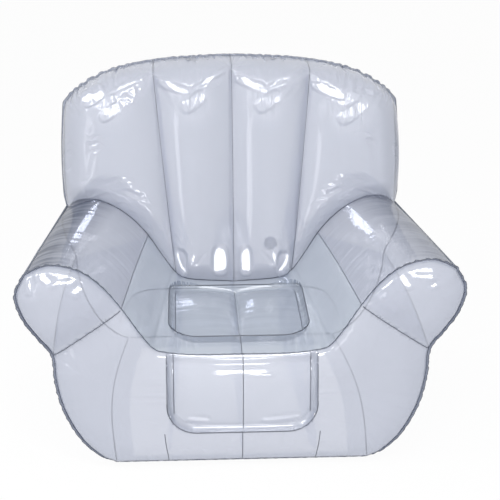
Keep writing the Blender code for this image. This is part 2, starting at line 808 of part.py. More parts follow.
def depth_inside(across, along, half_width, low, high, corner):
    """Distance from a rounded rectangle's edge to places inside it, and 0 outside."""
    x = np.abs(across) - (half_width - corner)
    y = np.abs(along - 0.5 * (low + high)) - (0.5 * (high - low) - corner)
    outside = np.hypot(np.maximum(x, 0.0), np.maximum(y, 0.0))
    return np.maximum(corner - outside - np.minimum(np.maximum(x, y), 0.0), 0.0)


def lobe_shape(across, along):
    """Two lobes side by side: 0 on the edges and on the middle line, 1 on the crests."""
    width = 4.0 * across * (1.0 - across)
    length = 4.0 * along * (1.0 - along)
    return np.sqrt(np.clip(width, 0.0, 1.0) * np.clip(length, 0.0, 1.0))


def seat_recess_range():
    low = FRONT_Y + SEAT_RECESS_FRONT_GAP
    return low, FRONT_Y + SEAT_DEPTH - SEAT_RECESS_BACK_GAP


def outline_cutter(name, points, low, high, turn, collection):
    """A prism over an outline, from low to high along its own Z axis."""
    item = flat_sheet(name, points, (), high - low, collection, None)
    item.matrix_world = turn @ Matrix.Translation((0.0, 0.0, 0.5 * (low + high)))
    hide_cutter(item)
    return item


def build_seat_recess(seat, film, weld, collection, cutters):
    low, high = seat_recess_range()
    edge = BEAD_RADIUS + CLEARANCE
    flat = Matrix.Identity(4)
    hole = rounded_rectangle(RECESS_HALF_WIDTH + edge, low - edge, high + edge, RECESS_CORNER + edge)
    base, top = SEAT_Z - ARM_RISE, SEAT_Z + ARM_RISE
    add_boolean(seat, outline_cutter("seat_recess_cut", hole, base, top, flat, cutters), "DIFFERENCE")

    line = rounded_rectangle(RECESS_HALF_WIDTH, low, high, RECESS_CORNER)
    bead = [(x, y, seat_height(x, y)) for x, y in line]
    weld_bead("seat_recess_weld", bead, weld, collection, closed=True)

    xs = RECESS_HALF_WIDTH * np.array(RECESS_WIDTH_SHARES)
    ys = low + (high - low) * np.array(RECESS_LENGTH_SHARES)
    grid = np.array([[(x, y, seat_height(x, y)) for x in xs] for y in ys])
    inside = depth_inside(grid[..., 0], grid[..., 1], RECESS_HALF_WIDTH, low, high, RECESS_CORNER)
    lobes = lobe_shape(grid[..., 0] / RECESS_HALF_WIDTH, (grid[..., 1] - low) / (high - low))
    grid[..., 2] -= dish_depth(inside, RECESS_WALL_RUN, lobes, LOBE_RISE)
    tray = film_panel("seat_recess_panel", grid, (0, 0, 1), film, collection, mirrored=True)
    rim = rounded_rectangle(RECESS_HALF_WIDTH - edge, low + edge, high - edge, RECESS_CORNER - edge)
    add_boolean(tray, outline_cutter("seat_recess_trim", rim, base, top, flat, cutters), "INTERSECT")


def build_front_recess(front, film, weld, collection, cutters):
    edge = BEAD_RADIUS + CLEARANCE
    upright = Matrix(((1, 0, 0, 0), (0, 0, -1, FRONT_Y), (0, 1, 0, 0), (0, 0, 0, 1)))
    reach = ARM_FRONT_BULGE + CUT_OVERRUN
    top = SEAT_Z + CUT_OVERRUN + FRONT_RECESS_CORNER
    bottom = FRONT_RECESS_BOTTOM_Z
    half = FRONT_RECESS_HALF_WIDTH
    hole = rounded_rectangle(half + edge, bottom - edge, top, FRONT_RECESS_CORNER + edge)
    cutter = outline_cutter("front_recess_cut", hole, -reach, reach, upright, cutters)
    add_boolean(front, cutter, "DIFFERENCE")

    line = np.array(rounded_rectangle(half, bottom, top, FRONT_RECESS_CORNER))
    seam = front_seam(seat_places())
    limit = np.interp(half, seam[:, 0], seam[:, 2]) - WELD_WIDTH
    right = [(x, z) for x, z in line if x > 0.0 and z < limit]
    if right[0][1] < right[-1][1]:
        right = right[::-1]
    right = [(half, limit), *right]
    path = np.array([*right, *[(-x, z) for x, z in right[::-1]]])
    on_right = np.stack([np.abs(path[:, 0]), path[:, 1]], axis=1)
    bead = np.stack([path[:, 0], front_surface_y(on_right), path[:, 1]], axis=1)
    weld_bead("front_recess_weld", bead, weld, collection)

    xs = half * np.array(RECESS_WIDTH_SHARES)
    tops = np.interp(xs, seam[:, 0], seam[:, 2]) - PANEL_EDGE
    shares = np.array(RECESS_LENGTH_SHARES)
    heights = bottom + (tops[None, :] - bottom) * shares[:, None]
    xz = np.stack([np.repeat(xs[None, :], len(shares), axis=0), heights], axis=-1)
    inside = depth_inside(xz[..., 0], xz[..., 1], half, bottom, top + SEAT_Z, FRONT_RECESS_CORNER)
    lobes = lobe_shape(xz[..., 0] / half, np.repeat(shares[:, None], len(xs), axis=1))
    depth = dish_depth(inside, RECESS_WALL_RUN, lobes, FRONT_LOBE_RISE)
    depth = depth * soft_edge(tops[None, :] - heights, RECESS_TOP_FADE)
    grid = np.stack([xz[..., 0], front_surface_y(xz) + depth, xz[..., 1]], axis=-1)
    grid[-1, :, 1] = FRONT_Y
    tray = film_panel("front_recess_panel", grid, (0, -1, 0), film, collection, mirrored=True)
    rim = rounded_rectangle(half - edge, bottom + edge, top, FRONT_RECESS_CORNER - edge)
    cutter = outline_cutter("front_recess_trim", rim, -reach, reach, upright, cutters)
    add_boolean(tray, cutter, "INTERSECT")


# Welds

def strip_normals(path, plane):
    """Unit vectors across a path, in the plane whose normal is given."""
    run = np.gradient(path, axis=0)
    across = np.cross(run, np.asarray(plane, dtype=float))
    return across / np.linalg.norm(across, axis=1, keepdims=True)


def build_welds(weld, collection):
    places = all_places()
    top = front_seam(places)
    edge = front_side(side_places())
    bottom = base_end(places, True)[::-1]
    loop = np.vstack([top, edge[1:], bottom[1:]])
    across = strip_normals(loop, (0, 1, 0))
    across[0] = (0, 0, 1)
    across[-1] = (0, 0, -1)
    outward = across + np.array([0.0, -1.0, 0.0])
    low = loop[:, 2] < LOW_WELD_Z
    outward[:, 2] = np.where(low, np.maximum(outward[:, 2], 0.0), outward[:, 2])
    weld_strip("front_panel_weld", loop, outward, WELD_WIDTH, weld, collection, mirrored=True)

    lower = rear_side(side_places())
    path = np.vstack([crown(places), back_side(BACK_HEIGHT_SHARES)[1:], lower[1:]])
    lean = (0.0, 1.0, -BACK_LEAN_RATIO)
    outward = strip_normals(path, lean)
    outward[0] = (0.0, BACK_LEAN_RATIO, 1.0)
    outward[:, 2] = np.where(path[:, 2] < LOW_WELD_Z, 0.0, outward[:, 2])
    weld_strip("rear_outline_weld", path, outward, OUTLINE_WELD_WIDTH, weld, collection, mirrored=True)

    line = arch(places)
    line[-1] += (line[-2] - line[-1]) * ARCH_WELD_END_SHARE
    outward = np.repeat([[0.0, 1.0, 0.0]], len(line), axis=0)
    weld_strip("rear_arch_weld", line, outward, WELD_WIDTH, weld, collection, mirrored=True)

    line = base_end(places, False)
    line[-1, 0] -= WELD_END_GAP
    weld_strip("rear_base_weld", line, outward, WELD_WIDTH, weld, collection, mirrored=True)

    ends = np.array(LENGTH_SHARES)
    arm_length = np.linalg.norm(arm_seam([1.0])[0] - arm_seam([0.0])[0])
    ends[0], ends[-1] = WELD_END_GAP / arm_length, 1.0 - WELD_END_GAP / arm_length
    for word, side in SIDES:
        line = on_side(arm_seam(ends), side)
        outward = np.repeat([[side, 0.0, ARM_WELD_RISE_SHARE]], len(line), axis=0)
        weld_strip(word + "_arm_weld", line, outward, WELD_WIDTH, weld, collection)
        line = on_side(base_side(ends), side)
        outward = np.repeat([[side, 0.0, -BASE_WELD_DROP_SHARE]], len(line), axis=0)
        weld_strip(word + "_base_weld", line, outward, WELD_WIDTH, weld, collection)

    half = places.copy()
    half[-1] -= JUNCTION_BEAD_END_STEP
    line = junction(half)
    both = np.vstack([on_side(line[:0:-1], -1.0), line])
    weld_bead("backrest_junction_weld", both, weld, collection)


# Webs

def inset_path(path, distance):
    """A 2D path moved sideways, to the left of its direction."""
    run = np.gradient(path, axis=0)
    left = np.stack([-run[:, 1], run[:, 0]], axis=1)
    return path + distance * left / np.linalg.norm(left, axis=1, keepdims=True)


def build_backrest_webs(front_grid, rear_grid, film, collection):
    column_of = {0: 0, WEB_POINT: int(np.argmin(np.abs(all_places() - WEB_POINT)))}
    for name, place, side in (
        ("backrest_web_left", WEB_POINT, -1.0),
        ("backrest_web_centre", 0, 1.0),
        ("backrest_web_right", WEB_POINT, 1.0),
    ):
        column = column_of[place]
        front = front_grid[:, column]
        rear = rear_grid[:, column]
        front = front[front[:, 2] > BACK_WEB_FOOT_Z]
        rear = rear[rear[:, 2] > BACK_WEB_FOOT_Z]
        front_line = inset_path(front[::-1][:, [1, 2]], -WEB_INSET)
        rear_line = inset_path(rear[:, [1, 2]], -WEB_INSET)
        foot_front = np.interp(BACK_WEB_FOOT_Z, front_grid[::-1, column, 2], front_grid[::-1, column, 1])
        foot_rear = np.interp(BACK_WEB_FOOT_Z, rear_grid[::-1, column, 2], rear_grid[::-1, column, 1])
        outline = [
            (foot_front + 2 * WEB_INSET, BACK_WEB_FOOT_Z), *front_line[:-1],
            *rear_line[1:], (foot_rear - 2 * WEB_INSET, BACK_WEB_FOOT_Z),
        ]
        middle = 0.5 * (foot_front + foot_rear)
        holes = [
            circle((middle + BACK_LEAN_RATIO * (z - BACK_WEB_FOOT_Z), z), AIR_HOLE_RADIUS, HOLE_STEPS)
            for z in BACK_WEB_FOOT_Z + (TOP_Z - BACK_WEB_FOOT_Z) * np.array(BACK_AIR_HOLE_SHARES)
        ]
        web = flat_sheet(name, outline, holes, FILM, collection, film)
        low, high = front[-1], front[0]
        slope = (high[0] - low[0]) / (high[2] - low[2])
        start = low[0] - slope * low[2]
        web.data.transform(Matrix((
            (0.0, slope * side, side, start * side), (1.0, 0.0, 0.0, 0.0),
            (0.0, 1.0, 0.0, 0.0), (0.0, 0.0, 0.0, 1.0),
        )))
        if side < 0.0:
            web.data.flip_normals()


def build_seat_webs(film, collection):
    low, high = seat_recess_range()
    under_tray = RECESS_DEPTH + WEB_INSET
    columns = (0.0, float(WEB_POINT))
    for name, place, side in (
        ("seat_web_left", columns[1], -1.0), ("seat_web_centre", columns[0], 1.0),
        ("seat_web_right", columns[1], 1.0),
    ):
        start = front_seam([place])[0]
        end = junction(np.array([place]))[0]
        slope = (end[0] - start[0]) / (end[1] - start[1])

        def x_at(y):
            return start[0] + slope * (y - FRONT_Y)

        def film_z(y):
            return seat_height(x_at(y), y) - WEB_INSET

        wall = FRONT_Y + RECESS_DEPTH + SEAT_WEB_END
        face_low = np.linspace(BASE_ROUND, FRONT_RECESS_BOTTOM_Z - 3 * SEAT_WEB_END, 3)
        front_xz = np.stack([np.full(3, start[0]), face_low], axis=1)
        front_line = list(zip(front_surface_y(front_xz) + SEAT_WEB_END, face_low))
        back = FRONT_Y + SEAT_DEPTH
        top_line = [
            (wall, FRONT_RECESS_BOTTOM_Z), (wall, film_z(wall) - RECESS_TOP_FADE),
            (wall + SEAT_WEB_RISE_RUN, film_z(wall) - SEAT_WEB_END),
            (low - SEAT_WEB_RISE_RUN, film_z(low) - SEAT_WEB_END),
            (low, film_z(low) - under_tray), (high, film_z(high) - under_tray),
            (back, film_z(high) - under_tray),
        ]
        rear_high = film_z(high) - under_tray
        rear_z = np.linspace(rear_high, BASE_ROUND, 4)
        rear_xz = np.stack([np.full(4, start[0]), rear_z], axis=1)
        rear_line = list(zip(rear_surface_y(rear_xz, np.full(4, place)) - SEAT_WEB_END, rear_z))
        floor = FILM + CLEARANCE
        floor_line = [(REAR_BASE_Y - 2 * BASE_ROUND, floor), (FRONT_Y + 2 * BASE_ROUND, floor)]
        outline = [*front_line, *top_line, *rear_line, *floor_line]
        height = 0.5 * SEAT_Z
        holes = [
            circle((y, height), AIR_HOLE_RADIUS, HOLE_STEPS)
            for y in FRONT_Y + (REAR_BASE_Y - FRONT_Y) * np.array(SEAT_AIR_HOLE_SHARES)
        ]
        web = flat_sheet(name, outline, holes, FILM, collection, film)
        web.data.transform(Matrix((
            (slope * side, 0.0, side, (start[0] - slope * FRONT_Y) * side),
            (1.0, 0.0, 0.0, 0.0), (0.0, 1.0, 0.0, 0.0), (0.0, 0.0, 0.0, 1.0),
        )))
        if side < 0.0:
            web.data.flip_normals()


def build_arm_webs(side_grid, film, collection):
    lengths = np.array(LENGTH_SHARES)[1:-1]
    inner = skin_grid(np.array([float(ARM_WEB_POINT)]), lengths)[:, 0]
    row = int(np.argmin(np.abs(side_places() - PINCH_POINT)))
    outer = side_grid[row, 1:-1]
    run = outer - inner
    unit = run / np.linalg.norm(run, axis=1, keepdims=True)
    inner = inner + unit * WEB_INSET
    outer = outer - unit * WEB_INSET
    shares = np.array(WEB_WIDTH_SHARES)[None, :, None]
    grid = inner[:, None] + (outer - inner)[:, None] * shares
    for word, side in SIDES:
        item = film_panel(word + "_arm_web", on_side(grid, side), (0, 0, 1), film, collection)
        item.modifiers["film"].offset = 0.0


# Valve

def valve_frame(rear_grid):
    """The valve's origin on the rear panel and its axis, pointing out of the film."""
    centers = 0.25 * (
        rear_grid[:-1, :-1] + rear_grid[1:, :-1] + rear_grid[:-1, 1:] + rear_grid[1:, 1:]
    )
    distance = np.linalg.norm(centers[..., [0, 2]] - (VALVE_X, VALVE_Z), axis=-1)
    row, column = np.unravel_index(np.argmin(distance), distance.shape)
    corners = rear_grid[row: row + 2, column: column + 2]
    origin = Vector(corners.mean(axis=(0, 1)))
    axis = Vector(np.cross(corners[1, 1] - corners[0, 0], corners[0, 1] - corners[1, 0]))
    axis.normalize()
    if axis.y < 0.0:
        axis.negate()
    return origin, axis


def turned(name, profile, material, collection, matrix):
    """A turned piece from a profile of (radius, height) down its outer side."""
    mesh = bpy.data.meshes.new(name)
    closed = profile[0][0] > 0.0 and profile[-1][0] > 0.0
    edges = [(index, index + 1) for index in range(len(profile) - 1)]
    if closed:
        edges.append((len(profile) - 1, 0))
    mesh.from_pydata([(radius, 0.0, height) for radius, height in profile], edges, [])
    item = link(name, mesh, material, collection)
    screw = item.modifiers.new("turn", "SCREW")
    screw.steps = ROUND_STEPS
    screw.render_steps = ROUND_STEPS
    screw.use_merge_vertices = True
    screw.merge_threshold = TURN_MERGE_DISTANCE
    screw.use_smooth_shade = True
    item.matrix_world = matrix
    return item


def build_valve(rear, rear_grid, soft, collection, cutters):
    origin, axis = valve_frame(rear_grid)
    turn = axis.to_track_quat("Z", "Y").to_matrix().to_4x4()
    matrix = Matrix.Translation(origin) @ turn

    bore = STEM_RADIUS + CLEARANCE
    flange_low = CLEARANCE
    flange_high = flange_low + VALVE_FLANGE_THICKNESS
    turned("valve_flange", [
        (bore, flange_high), (VALVE_FLANGE_RADIUS, flange_high),
        (VALVE_FLANGE_RADIUS, flange_low), (bore, flange_low),
    ], soft, collection, matrix)

    hole = bpy.data.objects.new("valve_hole", bpy.data.meshes.new("valve_hole"))
    cage = bmesh.new()
    bmesh.ops.create_cone(
        cage, cap_ends=True, segments=ROUND_STEPS, radius1=bore + CLEARANCE,
        radius2=bore + CLEARANCE, depth=2 * STEM_RADIUS,
    )
    cage.to_mesh(hole.data)
    cage.free()
    cutters.objects.link(hole)
    hole.matrix_world = matrix
    hide_cutter(hole)
    add_boolean(rear, hole, "DIFFERENCE")

    seat = flange_high + CLEARANCE
    collar_top = seat + STEM_COLLAR_THICKNESS
    inner = STEM_RADIUS - STEM_WALL
    foot = collar_top - STEM_LENGTH
    turned("valve_stem", [
        (inner, collar_top), (STEM_COLLAR_RADIUS - STEM_COLLAR_EDGE, collar_top),
        (STEM_COLLAR_RADIUS, collar_top - STEM_COLLAR_EDGE), (STEM_COLLAR_RADIUS, seat),
        (STEM_RADIUS, seat), (STEM_RADIUS, foot), (inner, foot),
    ], soft, collection, matrix)

    plug = inner - CLEARANCE
    head_low = collar_top + CLEARANCE
    head_high = head_low + STOPPER_HEAD_THICKNESS
    tip = head_low - STOPPER_LENGTH
    turned("valve_stopper", [
        (0.0, head_high), (STOPPER_HEAD_RADIUS - STOPPER_EDGE, head_high),
        (STOPPER_HEAD_RADIUS, head_high - STOPPER_EDGE), (STOPPER_HEAD_RADIUS, head_low),
        (plug, head_low), (plug, tip + STOPPER_EDGE), (plug - STOPPER_EDGE, tip), (0.0, tip),
    ], soft, collection, matrix)

    flap_top = foot - CLEARANCE
    ear = 0.5 * FLAP_EAR_WIDTH
    reach = STEM_RADIUS + FLAP_EAR_REACH
    side = math.sqrt(STEM_RADIUS**2 - ear**2)
    start = math.atan2(ear, side)
    angles = np.linspace(start, 2 * math.pi - start, ROUND_STEPS)
    rim = [(STEM_RADIUS * math.cos(a) - reach, STEM_RADIUS * math.sin(a)) for a in angles]
    outline = [(0.0, ear), *rim, (0.0, -ear)]
    flap = flat_sheet("valve_flap", outline, (), FLAP_THICKNESS, collection, soft)
    hinge = Matrix.Translation((reach, 0.0, flap_top - 0.5 * FLAP_THICKNESS))
    flap.matrix_world = matrix @ hinge

    inner_end = STOPPER_HEAD_RADIUS + CLEARANCE
    outer_end = STEM_COLLAR_RADIUS + CLEARANCE + STRAP_RISE
    base = flange_high + CLEARANCE
    outline = []
    for across, up in STRAP_ARCH_SHARES:
        outline.append((inner_end + (outer_end - inner_end) * across, head_low + STRAP_RISE * up))
    inner_line = inset_path(np.array(outline), -STRAP_THICKNESS)
    outline[-1] = (outline[-1][0], base)
    inner_line[-1] = (inner_line[-1][0], base)
    strap = flat_sheet(
        "valve_strap", [*outline, *[tuple(p) for p in inner_line[::-1]]], (),
        STRAP_WIDTH, collection, soft,
    )
    strap.matrix_world = matrix @ Matrix(((1, 0, 0, 0), (0, 0, -1, 0), (0, 1, 0, 0), (0, 0, 0, 1)))
    return origin, axis


def main():
    clear_scene()
    collection = make_collection(COLLECTION_NAME)
    cutters = make_collection(CUTTER_COLLECTION_NAME)
    film = make_material("clear_film", (0.80, 0.82, 0.88), 0.08, 0.35)
    web_film = make_material("web_film", (0.78, 0.80, 0.86), 0.12, 0.35)
    weld = make_material("fused_edge", (0.45, 0.47, 0.55), 0.25)
    soft = make_material("soft_valve_plastic", (0.85, 0.86, 0.90), 0.30, 0.8)

    seat = build_seat_and_arms(film, collection)
    side_grid = build_side_panels(film, collection)
    front = build_front_panel(film, collection)
    backrest_grid = build_backrest_panel(film, collection)
    rear, rear_grid = build_rear_panels(film, collection)
    build_base_panel(film, collection)
    build_seat_recess(seat, film, weld, collection, cutters)
    build_front_recess(front, film, weld, collection, cutters)
    build_welds(weld, collection)
    build_backrest_webs(backrest_grid, rear_grid, web_film, collection)
    build_seat_webs(web_film, collection)
    build_arm_webs(side_grid, web_film, collection)
    origin, axis = build_valve(rear, rear_grid, soft, collection, cutters)
    print("valve origin and axis:", tuple(origin), tuple(axis))


main()
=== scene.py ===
"""Looks of the clear inflatable lounge chair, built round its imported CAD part.

Metres, +Z up, the sitter faces -Y. The seam curves repeat the sizes of the CAD
source. Each film panel is held along its welds and blown up with cloth, so that
it puffs and puckers as welded film does.
"""

import logging
import math
from contextlib import contextmanager
from dataclasses import dataclass, field, replace
from enum import Enum
from typing import Iterator, Sequence

import bmesh
import bpy
import numpy as np
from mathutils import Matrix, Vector
from mathutils.kdtree import KDTree


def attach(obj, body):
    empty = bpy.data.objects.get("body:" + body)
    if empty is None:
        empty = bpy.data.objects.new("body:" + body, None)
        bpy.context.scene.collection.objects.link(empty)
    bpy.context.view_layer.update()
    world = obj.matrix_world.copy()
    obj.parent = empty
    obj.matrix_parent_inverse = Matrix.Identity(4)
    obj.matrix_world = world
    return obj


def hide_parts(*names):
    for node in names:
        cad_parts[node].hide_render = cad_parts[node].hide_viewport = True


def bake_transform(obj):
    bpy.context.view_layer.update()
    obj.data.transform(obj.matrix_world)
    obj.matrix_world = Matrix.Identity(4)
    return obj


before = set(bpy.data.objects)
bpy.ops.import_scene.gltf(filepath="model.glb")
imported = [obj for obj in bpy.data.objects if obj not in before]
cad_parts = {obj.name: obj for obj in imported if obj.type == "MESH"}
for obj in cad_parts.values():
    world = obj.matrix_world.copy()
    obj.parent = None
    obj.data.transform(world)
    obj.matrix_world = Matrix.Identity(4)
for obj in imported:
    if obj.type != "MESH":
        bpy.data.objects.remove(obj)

Array = np.ndarray
Triple = tuple[float, float, float]
Color = Triple
Socket = bpy.types.NodeSocket
Material = bpy.types.Material
Mesh = bpy.types.Mesh
Item = bpy.types.Object

LOG = logging.getLogger("lounge_chair")
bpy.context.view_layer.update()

# Seam points as shares of the sizes below. Row k of each list is seam point k.
LAST_POINT = 11.0
WEB_POINT = 2.0
ARM_WEB_POINT = 5.0
PINCH_POINT = 4.0
REAR_CORNER_POINT = 8.0
SIDE_LAST_POINT = 9.0
FRONT_SEAM_SHARES = (
    (0.000, 0.000), (0.228, 0.000), (0.352, 0.030), (0.416, 0.075),
    (0.479, 0.243), (0.562, 0.520), (0.638, 0.735), (0.717, 0.890),
    (0.796, 0.970), (0.881, 1.000), (0.941, 0.970), (1.000, 0.905),
)
JUNCTION_SHARES = (
    (0.000, 0.000), (0.262, 0.037), (0.345, 0.123), (0.393, 0.242),
    (0.437, 0.370), (0.507, 0.580), (0.572, 0.730), (0.644, 0.854),
    (0.721, 0.945), (0.812, 1.000), (0.908, 0.959), (1.000, 0.813),
)
CROWN_SHARES = (
    (0.000, 1.000), (0.274, 0.968), (0.464, 0.896), (0.536, 0.856),
    (0.602, 0.816), (0.667, 0.768), (0.733, 0.704), (0.794, 0.616),
    (0.856, 0.504), (0.915, 0.360), (0.965, 0.200), (1.000, 0.000),
)
ARCH_SHARES = (
    (0.000, 1.000), (0.330, 1.000), (0.500, 1.000), (0.600, 1.000),
    (0.680, 0.990), (0.740, 0.970), (0.790, 0.930), (0.835, 0.870),
    (0.875, 0.760), (0.915, 0.600), (0.955, 0.350), (1.000, 0.000),
)
BASE_SEAM_SHARES = (
    0.000, 0.377, 0.584, 0.640, 0.692, 0.744,
    0.793, 0.839, 0.882, 0.925, 0.964, 1.000,
)
FRONT_SIDE_SHARES = (
    (1.000, 1.000), (1.044, 0.897), (1.014, 0.779), (0.952, 0.682), (0.887, 0.585),
    (0.875, 0.438), (0.840, 0.283), (0.764, 0.130), (0.673, 0.035), (0.604, 0.000),
)
REAR_SIDE_SHARES = (
    (1.000, 1.000), (1.035, 0.900), (1.026, 0.790), (1.000, 0.700), (0.974, 0.613),
    (0.965, 0.469), (0.926, 0.303), (0.843, 0.139), (0.742, 0.038), (0.666, 0.000),
)
REAR_SIDE_SET_BACK_SHARES = (0.00, 0.10, 0.28, 0.45, 0.60, 0.75, 0.87, 0.95, 0.99, 1.00)
# The strap's middle line: distance from the valve's axis and height over the film.
STRAP_LINE = (
    (0.0098, 0.0023), (0.0135, 0.0023), (0.0158, 0.0027), (0.0165, 0.0045),
    (0.0156, 0.0066), (0.0137, 0.0083), (0.0114, 0.0088), (0.0097, 0.0072), (0.0082, 0.0046),
)

WEB_PLACES = {"left": -WEB_POINT, "centre": 0.0, "right": WEB_POINT}
BACK_MARKS = (0.0, WEB_POINT, ARM_WEB_POINT, LAST_POINT)
# Each row of bumps on a gathered edge: their length, how far and how fast that sways, the
# phase, the share of the height and the squareness.
BUMP_ROWS = ((0.041, 0.35, 23.0, 0.0, 0.65, 0.6), (0.023, 0.30, 41.0, 1.0, 0.35, 0.7))

DENSE_STEPS = 120  # points on a finely read curve
STEP = 0.0065  # between the points of the panels in view, in metres
COARSE_STEP = 0.009  # between the points of the other panels
SNAP_SHARE = 0.55  # of a step: points this near a pocket's outline move onto it
ON_LINE_SHARE = 0.1  # of a step: points this near an outline are held
EASE_STEPS = 3.0  # how far from an outline the film's puffing is eased
FOLD_START = 0.6  # of a pocket's wall: where the fused line at its foot starts
WALL_SHADE_END = 1.6  # of a pocket's wall: where its painted shade ends
TINY = 1e-12
CHAIR = "chair"  # the frame's body that the film rides on
KEY_LIGHT = (-2.0, -0.9, 2.2)
TOP_LIGHT = (-0.2, -1.8, 2.75)
FRONT_LIGHT = (0.25, -2.3, 2.5)
LOW_LIGHT = (0.1, -3.2, 0.30)
UPRIGHT_CREASES = "upright_creases"
LEVEL_CREASES = "level_creases"
ACROSS_WELD = "across_weld"
# The point attribute that says how much painted shade darkens the film there.
SHADED = "shaded"


class Side(Enum):
    """The two sides of the chair, as the viewer names them, with the sign of X."""

    LEFT = -1.0
    RIGHT = 1.0

    @property
    def word(self) -> str:
        """The side's name in lower case."""
        return self.name.lower()


# ---- curves and fades


def smooth_points(points: Sequence, places: Array) -> Array:
    """A Catmull-Rom curve through points.

    Args:
        points: the curve's own points, one row each.
        places: where to read it, counted in points.

    Returns:
        One row for each place.
    """
    points = np.asarray(points, dtype=float)
    places = np.asarray(places, dtype=float)
    padded = np.vstack([2 * points[0] - points[1], points, 2 * points[-1] - points[-2]])
    start = np.clip(np.floor(places).astype(int), 0, len(points) - 2)
    part = (places - start)[:, None]
    before, first, last, after = (padded[start + step] for step in range(4))
    return 0.5 * (
        2 * first
        + (last - before) * part
        + (2 * before - 5 * first + 4 * last - after) * part**2
        + (3 * first - before - 3 * last + after) * part**3
    )


def clamped(values: Array) -> Array:
    """The values, with none below 0 or above 1."""
    return np.clip(values, 0.0, 1.0)


def eased(share: Array) -> Array:
    """A share that starts and ends softly."""
    return share * share * (3.0 - 2.0 * share)


def unit_rows(vectors: Array) -> Array:
    """The vectors, made one long."""
    return vectors / np.maximum(np.linalg.norm(vectors, axis=-1, keepdims=True), TINY)


def round_edge(distance: Array, reach: float) -> Array:
    """0 at a seam, rising as a quarter circle to 1 at reach."""
    share = clamped(distance / reach)
    return np.sqrt(1.0 - (1.0 - share) ** 2)


def full_edge(distance: Array, reach: Array | float, power: float) -> Array:
    """0 at a seam, rising to 1 at reach, with a squarer corner for a higher power."""
    share = clamped(distance / reach)
    return (1.0 - (1.0 - share) ** power) ** (1.0 / power)


def soft_edge(distance: Array, reach: float) -> Array:
    """0 at a seam, rising as a sine to 1 at reach."""
    return np.sin(0.5 * math.pi * clamped(distance / reach))


def path_distance(points: Array, path: Array) -> Array:
    """Distance of each 2D point to a 2D polyline.

    Args:
        points: 2D points.
        path: the polyline's 2D points.

    Returns:
        One distance for each point.
    """
    best = np.full(points.shape[:-1], np.inf)
    for start, end in zip(path[:-1], path[1:]):
        run = end - start
        along = clamped(((points - start) @ run) / (run @ run))
        offset = points - (start + along[..., None] * run)
        best = np.minimum(best, np.linalg.norm(offset, axis=-1))
    return best


def run_lengths(path: Array) -> Array:
    """The length of a path up to each of its points."""
    steps = np.linalg.norm(np.diff(path, axis=0), axis=1)
    return np.concatenate([[0.0], np.cumsum(steps)])


def edge_patch(
    top: Array, bottom: Array, start: Array, end: Array, columns: Array, rows: Array,
) -> Array:
    """A Coons patch between four seam curves.

    Args:
        top: the first row's points.
        bottom: the last row's points.
        start: the first column's points.
        end: the last column's points.
        columns: each column's share of the way across.
        rows: each row's share of the way down.

    Returns:
        The grid, as rows by columns by 3.
    """
    across = columns[None, :, None]
    down = rows[:, None, None]
    ruled = (1 - down) * top[None] + down * bottom[None]
    cross = (1 - across) * start[:, None] + across * end[:, None]
    corners = (
        (1 - down) * ((1 - across) * top[0] + across * top[-1])
        + down * ((1 - across) * bottom[0] + across * bottom[-1])
    )
    return ruled + cross - corners


def column_line(rows: Sequence[int], column: int) -> Array:
    """The grid points of a column, over some rows."""
    return np.array([(row, column) for row in rows])


def middle_line(inside: Array) -> Array:
    """The grid points of the middle column, where inside is true."""
    column = inside.shape[1] // 2
    return column_line(np.nonzero(inside[:, column])[0], column)


def web_columns(places: Array) -> dict[str, int]:
    """The column of each backrest web in a grid that has both sides.

    Args:
        places: the seam places of the right half's columns.

    Returns:
        The columns by the webs' words.
    """
    both = np.concatenate([-places[:0:-1], places])
    return {word: int(np.argmin(np.abs(both - place))) for word, place in WEB_PLACES.items()}


def fold_lines(name: str, xs: Array, inside: Array, run: float) -> dict[str, Array]:
    """The grid points down the inner foot of a pocket's side walls.

    Args:
        name: the pocket's name.
        xs: where the grid's columns are.
        inside: each point's distance to the pocket's outline.
        run: how far the wall runs inwards.

    Returns:
        A line of grid points for each side.
    """
    lines = {}
    for side in Side:
        column = int(np.argmin(np.abs(xs - side.value * (xs[-1] - run))))
        rows = np.nonzero(inside[:, column] > FOLD_START * run)[0]
        lines[f"{name}_fold_{side.word}"] = column_line(rows, column)
    return lines


def side_walls(x: Array, inside: Array, half_width: float, run: float) -> Array:
    """Painted shade: 1 on a pocket's left and right walls, 0 on its floor and its other walls."""
    at_side = clamped((np.abs(x) - half_width + 2.0 * run) / run)
    return at_side * clamped(WALL_SHADE_END - inside / run)


def both_sides(grid: Array) -> Array:
    """A grid whose first column is in the middle, with its mirror image beside it."""
    return np.concatenate([on_side(grid[:, :0:-1], Side.LEFT), grid], axis=1)


def on_side(points: Array, side: Side) -> Array:
    """A copy of right-hand points, on the given side."""
    return points * (side.value, 1.0, 1.0)


def both_ways(half: Array) -> Array:
    """A path that runs from the middle to the right, with its mirror image before it."""
    return np.vstack([on_side(half[:0:-1], Side.LEFT), half])


def mirrored(values: Array) -> Array:
    """A grid of values whose first column is in the middle, repeated to the left."""
    return np.concatenate([values[:, :0:-1], values], axis=1)


def edge_pins(shape: tuple[int, int]) -> Array:
    """Held points all round the edge of a grid.

    Args:
        shape: the grid's rows and columns.

    Returns:
        1 on the edge, 0 inside it.
    """
    pins = np.zeros(shape)
    pins[[0, -1]] = 1.0
    pins[:, [0, -1]] = 1.0
    return pins


def quad_middles(values: Array) -> Array:
    """The mean of the values at the four corners of each quad of a grid."""
    return 0.25 * (values[1:, 1:] + values[1:, :-1] + values[:-1, 1:] + values[:-1, :-1])


def point_tree(points: Array) -> KDTree:
    """A search tree over points.

    Args:
        points: one row each.

    Returns:
        The tree, ready to search.
    """
    tree = KDTree(len(points))
    for index, point in enumerate(points):
        tree.insert(point, index)
    tree.balance()
    return tree


